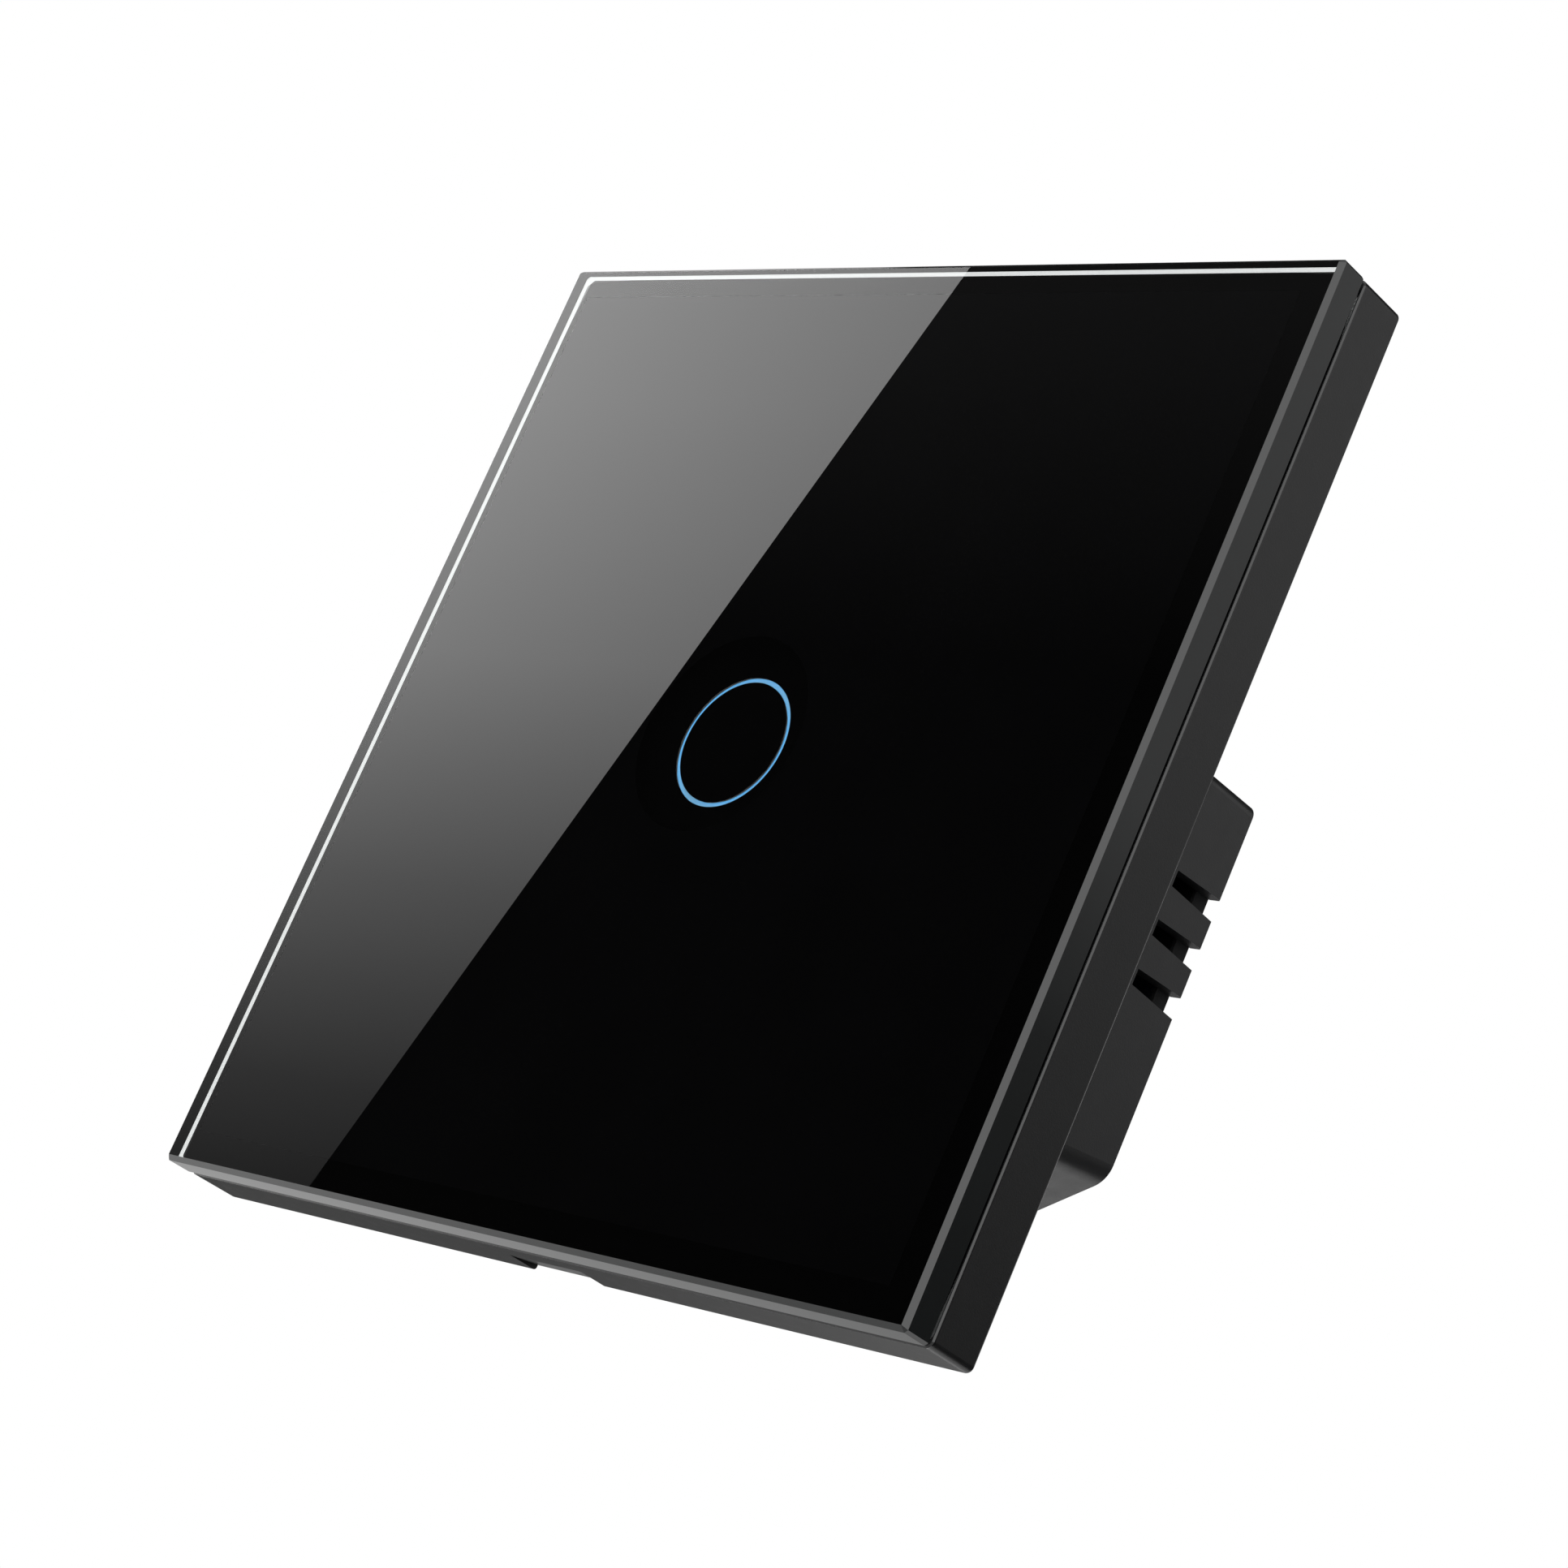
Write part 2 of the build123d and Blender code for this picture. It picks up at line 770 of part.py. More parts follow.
# Terminal block with one pocket for each pole, open towards the board
def make_terminal_block():
    body = block(-block_half, block_half, board_back, block_back, block_low, block_high)
    body = fillet(body.edges().filter_by(Axis.Y), block_edge_radius)
    for x in pole_places:
        half = pocket_width/2
        body = body - block(x - half, x + half, board_back - cut, pocket_back, pocket_low, pocket_high)
        bore = screw_radius + screw_head_play
        body = body - rod(x, screw_level(), bore, pocket_back - cut, head_seat + cut)
        side = 2*(screw_head_radius + screw_head_play)
        body = body - bar(x, screw_level(), side, side, head_seat, block_back + cut)
        body = body - wire_bore(x, pocket_high - cut, block_high + cut)
    for n in range(pole_count - 1):
        middle = (pole_places[n] + pole_places[n + 1])/2
        groove = pocket_end_wall/3
        body = body - block(middle - groove, middle + groove, head_seat, block_back + cut,
                            block_low - cut, block_high + cut)
    return body


# Brass strips, one for each pole, with a leg through the power board
def make_contact_strips():
    strips = []
    front = strip_front()
    for x in pole_places:
        tongue = block(x - strip_width/2, x + strip_width/2, front, front + strip_thick,
                       pocket_low, clamp_low() + clamp_length)
        leg = block(x - strip_leg_width/2, x + strip_leg_width/2, board_front - strip_tail, front,
                    pocket_low, pocket_low + strip_leg_thick)
        shoulder = block(x - strip_width/2, x + strip_width/2, board_back, front,
                         pocket_low, pocket_low + strip_leg_thick)
        strips.append((tongue + leg + shoulder).solid())
    return Compound(strips)


# Rising clamp: a square loop round the strip, pulled up by its screw
def make_terminal_clamp(x):
    front = strip_front() - wire_space - clamp_bottom
    back = strip_front() + strip_thick + strip_play + clamp_top
    low = clamp_low()
    half = pocket_width/2 - clamp_play
    loop = block(x - half, x + half, front, back, low, low + clamp_length)
    loop = chamfer(loop.edges().filter_by(Axis.Z), clamp_edge)
    inner = half - clamp_side
    loop = loop - block(x - inner, x + inner, front + clamp_bottom, back - clamp_top,
                        low - cut, low + clamp_length + cut)
    return loop - rod(x, screw_level(), screw_radius + screw_fit, back - clamp_top - cut, back + cut)


# Terminal screw with a slotted head, held under the cover
def make_terminal_screw(x):
    head_front = head_seat + screw_head_play
    head_back = head_front + screw_head_height
    tip = strip_front() + strip_thick + strip_play
    z = screw_level()
    head = rod(x, z, screw_head_radius, head_front, head_back)
    head = chamfer(head.edges().sort_by(Axis.Y)[-1], screw_head_height/6)
    screw = head + rod(x, z, screw_radius, tip, head_front)
    half = screw_slot_cut/2
    reach = screw_head_radius + cut
    return screw - block(x - reach, x + reach, head_back - screw_slot_deep, head_back + cut,
                         z - half, z + half)


# Places inside the relay, measured from its middle and from the board
relay_floor = board_back + relay_base_thick
yoke_top = relay_floor + yoke_height
armature_front = yoke_top + armature_gap
armature_back = armature_front + armature_thick
hinge_x = relay_x + yoke_back + yoke_thick/2
hinge_y = yoke_top
coil_x = relay_x + core_x
blade_back = armature_back + blade_thick


def make_relay_case():
    half_x = relay_width/2
    half_z = relay_depth/2
    back = board_back + relay_height
    case = block(relay_x - half_x, relay_x + half_x, board_back, back, relay_z - half_z, relay_z + half_z)
    case = fillet(case.edges().filter_by(Axis.Y), relay_case_radius)
    case = chamfer(case.faces().sort_by(Axis.Y)[-1].edges(), relay_case_radius/2)
    inner_x = half_x - relay_case_wall
    inner_z = half_z - relay_case_wall
    return case - block(relay_x - inner_x, relay_x + inner_x, board_back - cut, back - relay_case_wall,
                        relay_z - inner_z, relay_z + inner_z)


def make_relay_base():
    half_x = relay_width/2 - relay_case_wall - relay_case_gap
    half_z = relay_depth/2 - relay_case_wall - relay_case_gap
    return block(relay_x - half_x, relay_x + half_x, board_back, relay_floor,
                 relay_z - half_z, relay_z + half_z)


# Iron yoke with the core standing in it
def make_relay_yoke():
    back = relay_x + yoke_back
    half = yoke_width/2
    foot_end = coil_x + bobbin_half
    yoke = block(back, foot_end, relay_floor, relay_floor + yoke_thick, relay_z - half, relay_z + half)
    yoke = yoke + block(back, back + yoke_thick, relay_floor, yoke_top, relay_z - half, relay_z + half)
    pole_back = armature_front - pole_gap
    yoke = yoke + rod(coil_x, relay_z, core_radius, relay_floor + yoke_thick, pole_back)
    return yoke + rod(coil_x, relay_z, pole_radius, pole_back - pole_thick, pole_back)


def bobbin_span():
    """The front and back ends of the relay's bobbin."""
    return relay_floor + yoke_thick, armature_front - pole_gap - pole_thick


def make_relay_bobbin():
    front, back = bobbin_span()
    bobbin = rod(coil_x, relay_z, core_radius + bobbin_gap + bobbin_wall, front, back)
    side = 2*bobbin_half
    bobbin = bobbin + bar(coil_x, relay_z, side, side, front, front + bobbin_flange)
    bobbin = bobbin + bar(coil_x, relay_z, side, side, back - bobbin_flange, back)
    return bobbin - rod(coil_x, relay_z, core_radius + bobbin_gap, front - cut, back + cut)


def make_relay_coil():
    front, back = bobbin_span()
    inner = core_radius + bobbin_gap + bobbin_wall
    return pipe(coil_x, relay_z, coil_radius, inner, front + bobbin_flange, back - bobbin_flange)


def swung_open(shape):
    """Turns a piece drawn with the relay closed to where the spring holds it open."""
    hinge = Axis((hinge_x, hinge_y, relay_z), (0, 0, 1))
    return shape.rotate(hinge, armature_open_angle)


# Armature: the iron plate that the coil pulls in
def make_relay_armature():
    half = armature_width/2
    start = relay_x + yoke_back
    return swung_open(block(start, relay_x + armature_end, armature_front, armature_back,
                            relay_z - half, relay_z + half))


# Contact blade: a spring strip on the armature with a leg bent down behind the yoke
def make_relay_blade():
    half = blade_width/2
    back = relay_x + yoke_back - blade_leg_gap
    blade = block(back - blade_thick, relay_x + blade_end, armature_back, blade_back,
                  relay_z - half, relay_z + half)
    blade = blade + block(back - blade_thick, back, armature_back - blade_leg, armature_back,
                          relay_z - half, relay_z + half)
    button = rod(relay_x + contact_x, relay_z, contact_radius, armature_back - contact_thick, armature_back)
    return swung_open(blade + button)


def make_contact(x, carrier_front, facing):
    """A fixed contact: a post from the relay's base, a bent arm and a button."""
    half = carrier_width/2
    post_front = x + carrier_reach
    button_end = carrier_front + facing*contact_thick
    arm = block(x - contact_radius, post_front + carrier_thick, carrier_front - carrier_thick*(1 + facing)/2,
                carrier_front + carrier_thick*(1 - facing)/2, relay_z - half, relay_z + half)
    post = block(post_front, post_front + carrier_thick, relay_floor, carrier_front,
                 relay_z - half, relay_z + half)
    return arm + post + rod(x, relay_z, contact_radius, *sorted((carrier_front, button_end)))


# The fixed contact that the blade closes on
def make_relay_contact():
    face = armature_back - contact_thick - contact_gap
    return make_contact(relay_x + contact_x, face - contact_thick, 1)


def relay_pin_places():
    """Places of the relay's four pins."""
    return [(relay_x + x, relay_z + z) for x, z in each_corner(relay_pin_spread, relay_pin_spread/2)]


# Four pins under the relay
def make_relay_pins():
    tip = board_front - strip_tail
    pins = [bar(x, z, relay_pin_width, relay_pin_thick, tip, board_back) for x, z in relay_pin_places()]
    return Compound([pin.solid() for pin in pins])


# Ferrite core with two windows
def make_transformer_core():
    half_x = core_width/2
    half_z = core_depth/2
    back = board_back + core_height
    core = block(transformer_x - half_x, transformer_x + half_x, board_back, back,
                 transformer_z - half_z, transformer_z + half_z)
    for side in (-1, 1):
        x0, x1 = sorted((transformer_x + side*core_leg/2, transformer_x + side*(half_x - core_side)))
        core = core - block(x0, x1, board_back + core_yoke, back - core_yoke,
                            transformer_z - half_z - cut, transformer_z + half_z + cut)
    return core


def round_leg(extra_x, extra_z, y0, y1):
    """A block round the core's middle leg."""
    half_x = core_leg/2 + extra_x
    half_z = core_depth/2 + extra_z
    return block(transformer_x - half_x, transformer_x + half_x, y0, y1,
                 transformer_z - half_z, transformer_z + half_z)


def make_transformer_bobbin():
    front = board_back + core_yoke + former_gap
    back = board_back + core_height - core_yoke - former_gap
    window = core_width/2 - core_side - core_leg/2
    reach = window - former_gap
    tube = former_gap + former_wall
    former = round_leg(tube, tube, front, back)
    former = former + round_leg(reach, former_overhang, front, front + former_flange)
    former = former + round_leg(reach, former_overhang, back - former_flange, back)
    return former - round_leg(former_gap, former_gap, front - cut, back + cut)


def make_transformer_winding():
    front = board_back + core_yoke + former_gap + former_flange
    back = board_back + core_height - core_yoke - former_gap - former_flange
    window = core_width/2 - core_side - core_leg/2
    tube = former_gap + former_wall
    coil = round_leg(window*winding_share, former_overhang*winding_share, front, back)
    coil = fillet(coil.edges().filter_by(Axis.Y), winding_radius)
    return coil - round_leg(tube, tube, front - cut, back + cut)


# Smoothing capacitor
def make_bulk_capacitor():
    can = rod(can_x, can_z, can_radius, board_back, board_back + can_height)
    return chamfer(can.edges().sort_by(Axis.Y)[-1], can_edge)


def make_film_capacitor():
    half_x = film_width/2
    half_z = film_depth/2
    body = block(film_x - half_x, film_x + half_x, board_back, board_back + film_height,
                 film_z - half_z, film_z + half_z)
    body = chamfer(body.edges().filter_by(Axis.Y), film_edge)
    return chamfer(body.faces().sort_by(Axis.Y)[-1].edges(), film_edge)


# Surge disc standing on two leads
def make_varistor():
    centre = board_back + disc_lift + disc_radius
    disc = Pos(disc_x, centre, disc_z)*Cylinder(disc_radius, disc_thick)
    for side in (-1, 1):
        disc = disc + bar(disc_x + side*lead_spread/2, disc_z, lead_side, lead_side, board_back, centre)
    return disc


# Radial fuse
def make_fuse():
    fuse = rod(fuse_x, fuse_z, fuse_radius, board_back, board_back + fuse_height)
    return chamfer(fuse.edges().sort_by(Axis.Y)[-1], fuse_edge)


def make_chip(x, z, seat, outward):
    """A flat chip with legs on two sides. Outward is -1 for a chip on a board's front."""
    y0, y1 = sorted((seat, seat + outward*chip_height))
    chip = block(x - chip_length/2, x + chip_length/2, y0, y1, z - chip_width/2, z + chip_width/2)
    chip = chamfer(chip.faces().sort_by(Axis.Y)[0 if outward < 0 else -1].edges(), chip_leg_thick)
    foot0, foot1 = sorted((seat, seat + outward*chip_leg_thick))
    for n in range(chip_leg_count):
        leg = x + (n - (chip_leg_count - 1)/2)*chip_leg_pitch
        reach = chip_width/2 + chip_leg_reach
        chip = chip + block(leg - chip_leg_width/2, leg + chip_leg_width/2, foot0, foot1,
                            z - reach, z + reach)
    return chip


# Touch board
def make_touch_board():
    board = plate(touch_board_half_width, touch_board_low, touch_board_high, touch_board_radius,
                  touch_board_front, touch_board_back)
    side = header_pin_side/2 + socket_hole_gap
    for x in header_places():
        board = board - block(x - side, x + side, touch_board_front - cut, touch_board_back + cut,
                              header_z - side, header_z + side)
    return board


def header_places():
    """Places of the pins along X."""
    return [(n - (header_pin_count - 1)/2)*header_pitch for n in range(header_pin_count)]


def make_header_strip():
    half = header_half()
    wide = header_body_width/2
    side = header_pin_side/2 + socket_hole_gap
    strip = block(-half, half, touch_board_back, touch_board_back + header_body_height,
                  header_z - wide, header_z + wide)
    for x in header_places():
        strip = strip - block(x - side, x + side, touch_board_back - cut,
                              touch_board_back + header_body_height + cut, header_z - side, header_z + side)
    return strip


def make_header_pins():
    front = touch_board_front - header_solder
    back = touch_board_back + header_body_height + header_reach
    side = header_pin_side/2
    pins = []
    for x in header_places():
        pins.append(block(x - side, x + side, front, back, header_z - side, header_z + side).solid())
    return Compound(pins)


def make_header_socket():
    half = header_half()
    wide = header_body_width/2
    side = header_pin_side/2 + socket_hole_gap
    front = touch_board_back + header_body_height + socket_gap
    socket = block(-half, half, front, board_front, header_z - wide, header_z + wide)
    for x in header_places():
        socket = socket - block(x - side, x + side, front - cut, board_front + cut,
                                header_z - side, header_z + side)
    return socket


# Clear ring that carries the light from the lamps to the ring in the print
def make_light_guide():
    crest_front = print_back + front_gap
    ring_front = crest_front + guide_crest_height
    ring_back = touch_board_front - guide_foot_height
    guide = pipe(0, 0, guide_outer_radius, guide_inner_radius, ring_front, ring_back)
    outer = ring_diameter/2
    guide = guide + pipe(0, 0, outer, outer - ring_line, crest_front, ring_front)
    middle = (guide_outer_radius + guide_inner_radius)/2
    for n in range(led_count):
        foot = bar(middle, 0, guide_foot_thick, guide_foot_width, ring_back, touch_board_front)
        guide = guide + foot.rotate(Axis.Y, (n + 1/2)*360/led_count)
    return guide


# Lamps under the ring
def make_indicator_leds():
    radius = (guide_outer_radius + guide_inner_radius)/2
    lamps = []
    for n in range(led_count):
        lamp = block(radius - led_width/2, radius + led_width/2, touch_board_front - led_height,
                     touch_board_front, -led_length/2, led_length/2)
        lamps.append(lamp.rotate(Axis.Y, n*360/led_count).solid())
    return Compound(lamps)


def make_light_shield():
    front = touch_board_front - shield_height
    shield = bar(0, 0, shield_outer, shield_outer, front, touch_board_front)
    return shield - bar(0, 0, shield_inner, shield_inner, front - cut, touch_board_front + cut)


# Touch spring: a coil of wire between a foot on the board and a pad against the glass
def make_touch_spring():
    pad_front = print_back + front_gap
    pad_back = pad_front + spring_pad_thick
    foot_front = touch_board_front - spring_foot_thick
    start = pad_back + spring_wire/2
    end = foot_front - spring_wire/2
    quarters = spring_turns*4
    rise = (end - start)/quarters
    coil = sweep(spring_section(start, rise), path=Wire(spring_arcs(start, rise, quarters)))
    pad = bar(0, 0, spring_pad_side, spring_pad_side, pad_front, start)
    foot = bar(0, 0, spring_pad_side, spring_pad_side, end, touch_board_front)
    return coil + pad + foot


def spring_place(start, rise, step):
    """The place and the direction of the spring's wire after a number of quarter turns."""
    turn = step*radians(90)
    place = Vector(spring_radius*cos(turn), start + step*rise, spring_radius*sin(turn))
    along = spring_radius*radians(90)
    return place, Vector(-along*sin(turn), rise, along*cos(turn)).normalized()


def spring_section(start, rise):
    """The wire's section at the pad."""
    place, direction = spring_place(start, rise, 0)
    return Plane(origin=place, x_dir=(1, 0, 0), z_dir=direction)*Rectangle(spring_wire, spring_wire)


def spring_arcs(start, rise, quarters):
    """Two arcs for each quarter turn, each tangent to the next."""
    arcs = []
    for n in range(quarters):
        first, leaving = spring_place(start, rise, n)
        last, arriving = spring_place(start, rise, n + 1)
        chord = last - first
        spread = 2*(1 - leaving.dot(arriving))
        along = chord.dot(leaving + arriving)
        reach = ((along**2 + spread*chord.dot(chord))**0.5 - along)/spread
        near = first + leaving*reach
        far = last - arriving*reach
        middle = (near + far)*0.5
        arcs.append(Edge.make_tangent_arc(first, leaving, middle))
        arcs.append(Edge.make_tangent_arc(middle, far - near, last))
    return arcs


# Small ceramic parts in a row on the touch board
def make_chip_capacitors():
    front = touch_board_front - chip_cap_height
    low = touch_chip_z - chip_cap_length/2
    parts = []
    for side in (-1, 1):
        for n in range(chip_cap_count):
            x = side*(chip_length/2 + chip_cap_gap + n*chip_cap_pitch)
            body = block(x - chip_cap_width/2, x + chip_cap_width/2, front, touch_board_front,
                         low, low + chip_cap_length)
            parts.append(body.solid())
    return Compound(parts)


def build_pieces():
    """Every piece by the name of its file."""
    pieces = {
        "glass_panel": make_glass_panel(),
        "back_print": make_back_print(),
        "bonding_tape": make_bonding_tape(),
        "front_frame": make_front_frame(),
        "mounting_plate": make_mounting_plate(),
        "base_housing": make_base_housing(),
        "rear_cover": make_rear_cover(),
        "cover_screws": make_cover_screws(),
        "power_board": make_power_board(),
        "terminal_block": make_terminal_block(),
        "contact_strips": make_contact_strips(),
        "relay_case": make_relay_case(),
        "relay_base": make_relay_base(),
        "relay_yoke": make_relay_yoke(),
        "relay_bobbin": make_relay_bobbin(),
        "relay_coil": make_relay_coil(),
        "relay_armature": make_relay_armature(),
        "relay_blade": make_relay_blade(),
        "relay_contact": make_relay_contact(),
        "relay_pins": make_relay_pins(),
        "transformer_core": make_transformer_core(),
        "transformer_bobbin": make_transformer_bobbin(),
        "transformer_winding": make_transformer_winding(),
        "bulk_capacitor": make_bulk_capacitor(),
        "film_capacitor": make_film_capacitor(),
        "varistor": make_varistor(),
        "fuse": make_fuse(),
        "bridge_rectifier": make_chip(bridge_x, bridge_z, board_front, -1),
        "power_chip": make_chip(power_chip_x, power_chip_z, board_front, -1),
        "touch_board": make_touch_board(),
        "touch_chip": make_chip(touch_chip_x, touch_chip_z, touch_board_front, -1),
        "chip_capacitors": make_chip_capacitors(),
        "header_strip": make_header_strip(),
        "header_pins": make_header_pins(),
        "header_socket": make_header_socket(),
        "light_guide": make_light_guide(),
        "light_shield": make_light_shield(),
        "indicator_leds": make_indicator_leds(),
        "touch_spring": make_touch_spring(),
    }
    for n, x in enumerate(pole_places, start=1):
        pieces[f"terminal_clamp_{n}"] = make_terminal_clamp(x)
        pieces[f"terminal_screw_{n}"] = make_terminal_screw(x)
    return pieces


os.makedirs("parts", exist_ok=True)
for name, piece in build_pieces().items():
    export_step(piece, f"parts/{name}.step")
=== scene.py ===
import math

import bmesh
import bpy
from bpy.props import FloatProperty, FloatVectorProperty, IntProperty, PointerProperty
from mathutils import Matrix, Vector


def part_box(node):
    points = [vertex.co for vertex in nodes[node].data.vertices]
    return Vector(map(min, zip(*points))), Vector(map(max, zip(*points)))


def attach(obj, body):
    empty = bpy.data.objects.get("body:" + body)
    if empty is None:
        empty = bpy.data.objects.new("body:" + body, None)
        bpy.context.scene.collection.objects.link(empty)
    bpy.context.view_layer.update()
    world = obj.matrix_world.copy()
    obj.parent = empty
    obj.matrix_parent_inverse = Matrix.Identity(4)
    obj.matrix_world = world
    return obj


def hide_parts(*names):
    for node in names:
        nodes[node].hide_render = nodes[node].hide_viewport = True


bl_info = {
    "name": "Touch light switch",
    "version": (1, 0),
    "blender": (4, 5, 0),
    "location": "3D View > Sidebar > Light switch",
    "description": "Dresses the packed touch light switch: glass, light ring, plastics, boards and metal",
    "category": "Object",
}

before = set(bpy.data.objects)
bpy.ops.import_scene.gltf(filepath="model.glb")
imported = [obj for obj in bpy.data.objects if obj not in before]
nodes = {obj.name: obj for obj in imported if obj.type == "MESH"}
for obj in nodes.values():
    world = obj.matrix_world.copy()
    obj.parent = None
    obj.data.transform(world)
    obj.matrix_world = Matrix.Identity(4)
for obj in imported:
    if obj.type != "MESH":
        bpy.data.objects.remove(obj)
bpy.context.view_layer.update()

POLES = (1, 2, 3)
RAYS = ("camera", "diffuse", "glossy", "transmission", "shadow", "volume_scatter")

# The glass's finishes, in the order of its material slots
CLEAR, GROUND, SIDE, OVER_PRINT = range(4)
ROUND_STEPS = 96

# Inputs of a geometry tree that repeats its shape on a line
ROW = {"Place": "Vector", "Step": "Vector", "Count": "Int"}
# Share of a screw's shank with thread, and of its head's radius that is left at the top
THREADED, HEAD_TOP = 0.82, 0.88
# A slot's width, its depth and its cutter's length as a share of the head's diameter
CROSS = 0.0005, 0.0006, 0.62
SLOT = 0.0007, 0.0008, 1.1

# Stage, in metres. A card's stops give its brightness at places from 0 to 1 of a span.
FLOOR_REACH = 3.0
FLOOR_WHITE = 0.85
LAMPS = (
    # name, place, side, power
    ("key_lamp", (-0.5, -0.9, 0.9), 0.6, 9.0),
    ("fill_lamp", (0.9, -0.5, 0.2), 0.5, 1.5),
)
# Cards in front of the panel: how far they go beyond its mirrored edge, their widths, the heights between which
# their light changes, and the pale one's fade along X (its two places and the factors there)
WALL_BEYOND, PALE_WIDTH, DARK_WIDTH = 0.25, 0.5, 0.9
WALL_SPAN = 0.095, 0.43
PALE_STOPS = (
    (0.0, 0.06), (0.12, 0.12), (0.22, 0.22), (0.33, 0.35), (0.45, 0.54), (0.57, 0.75), (0.7, 0.86),
    (0.85, 0.96), (1.0, 1.0))
PALE_FADE = -0.85, -0.67, 1.1, 0.84
DARK_STOPS = (0.0, 0.02), (0.6, 0.02), (1.0, 0.1)
SIDE_STOPS = (0.0, 0.0), (0.275, 0.13), (0.37, 0.23), (0.49, 0.67), (0.62, 0.73), (0.71, 0.78), (1.0, 0.9)
FLAT_CARDS = (
    # name, stops, their span along X, (left, right, front, back), height over the floor
    ("low_card", ((0.0, 0.14), (1.0, 0.1)), (-0.3, 0.05), (-1.6, 0.1, 0.02, 1.6), 0.01),
    ("low_strip", ((0.0, 0.72), (1.0, 0.42)), (-0.45, -0.25), (-0.5, -0.2, 0.255, 0.34), 0.015),
    ("bounce_card", ((0.0, 2.4), (1.0, 1.0)), (-0.2, -0.05), (-0.6, 0.0, -0.3, 0.0), 0.01),
    ("patch_card", ((0.0, 1.6), (1.0, 1.6)), (0.1, 0.3), (-0.08, 0.08, 0.06, 0.2), 0.015),
    ("shade_card", ((0.0, 0.03), (1.0, 0.03)), (0.1, 0.3), (0.1, 0.3, -0.05, 1.0), 0.01),
    ("upper_card", ((0.0, 0.75), (0.5, 0.6), (0.62, 0.05), (1.0, 0.02)),
     (-0.62, -0.5), (-0.9, 0.5, 0.05, 1.6), 0.63),
)


# Kinds of setting

def length(name, description, millimetres):
    return FloatProperty(name=name, description=description, default=millimetres/1000,
                         min=0, unit="LENGTH", subtype="DISTANCE", precision=5)


def share(name, description, value):
    return FloatProperty(name=name, description=description, default=value, min=0, max=1, subtype="FACTOR")


def count(name, description, value):
    return IntProperty(name=name, description=description, default=value, min=1)


def strength(name, description, value):
    return FloatProperty(name=name, description=description, default=value, min=0)


def place(name, description, x, y, z):
    return FloatVectorProperty(name=name, description=description, unit="LENGTH", subtype="TRANSLATION",
                               default=(x/1000, y/1000, z/1000), precision=5)


def direction(name, description, x, y, z):
    return FloatVectorProperty(name=name, description=description, default=(x, y, z), subtype="XYZ")


def shade(name, description, red, green, blue):
    return FloatVectorProperty(name=name, description=description, default=(red, green, blue, 1),
                               size=4, min=0, max=1, subtype="COLOR")


class PanelSettings(bpy.types.PropertyGroup):
    """Glass panel and the print on its back."""
    tint: shade("Glass tint", "Colour of the clear glass", 0.93, 0.96, 0.95)
    ior: FloatProperty(name="Refraction", description="Index of refraction of the glass", default=1.46)
    front_chamfer: length("Front chamfer", "Polished chamfer round the glass's face", 0.4)
    back_chamfer: length("Back chamfer", "Ground chamfer round the glass's back", 0.3)
    facet: length("Corner facet", "Small facet on each corner of the glass", 0.25)
    back_facet: length("Back corner facet", "Facet on each corner of the glass's back face", 0.6)
    ground_colour: shade("Ground glass", "Pale ground chamfer seen through the glass", 0.93, 0.94, 0.94)
    # Painted light: the ground chamfer glows when seen from inside the glass, in place of the light that it
    # gathers there
    ground_painted_glow: strength("Ground glass painted glow", "Brightness of the ground chamfer inside the glass", 0.68)
    # Painted reflection: a dark colour on the glass's edge and front chamfer, in place of the black print
    # mirrored inside the glass
    side_painted_reflection: shade("Glass side", "Dark colour of the glass seen through its edge", 0.004, 0.005, 0.005)
    rim: length("Clear rim", "Width of the face's rim that shows the glass's edges", 2.9)
    window: length("Clear middle", "Radius of the clear middle round the light ring", 8.6)
    print_colour: shade("Print", "Black screen print behind the glass", 0.0008, 0.0008, 0.0009)
    print_bite: length("Print bite", "Depth of the print in the glass, which leaves no air between them", 0.01)
    ring_diameter: length("Ring", "Outer diameter of the clear ring in the print", 11.4)
    ring_line: length("Ring line", "Width of the clear ring", 0.4)
    corner: length("Print corner", "Cut corner of the print", 0.6)


class LightSettings(bpy.types.PropertyGroup):
    """Light ring behind the clear line of the print."""
    colour: shade("Light", "Colour of the lit ring", 0.05, 0.33, 0.63)
    strength: strength("Light strength", "Brightness of the lit ring's crest", 0.62)
    spring_wire: length("Spring wire", "Thickness of the touch spring's wire", 0.45)
    spring_turns: FloatProperty(name="Spring turns", description="Turns of the touch spring", default=2.0)
    spring_radius: length("Spring radius", "Radius of the touch spring to the middle of its wire", 2.9)
    spring_pad: length("Spring pad", "Thickness of the touch spring's pad and foot", 0.225)


class PlasticSettings(bpy.types.PropertyGroup):
    """Moulded plastic of the frame and the base."""
    frame_colour: shade("Frame", "Black plastic of the frame", 0.006, 0.006, 0.0062)
    housing_colour: shade("Base", "Black plastic of the plate, housing and cover", 0.013, 0.013, 0.0133)
    block_colour: shade("Terminal block", "Dark grey plastic of the terminal block", 0.05, 0.05, 0.055)
    grain: length("Grain", "Size of the grain in the moulding's surface", 0.12)
    grain_depth: length("Grain depth", "Depth of that grain", 0.006)
    roughness: share("Roughness", "Roughness of the satin plastic", 0.36)
    sheen: share("Sheen", "Strength of the satin plastic's mirrored light", 0.4)
    edge_roughness: share("Edge roughness", "Roughness of the frame's front edge, which is rubbed smooth", 0.12)


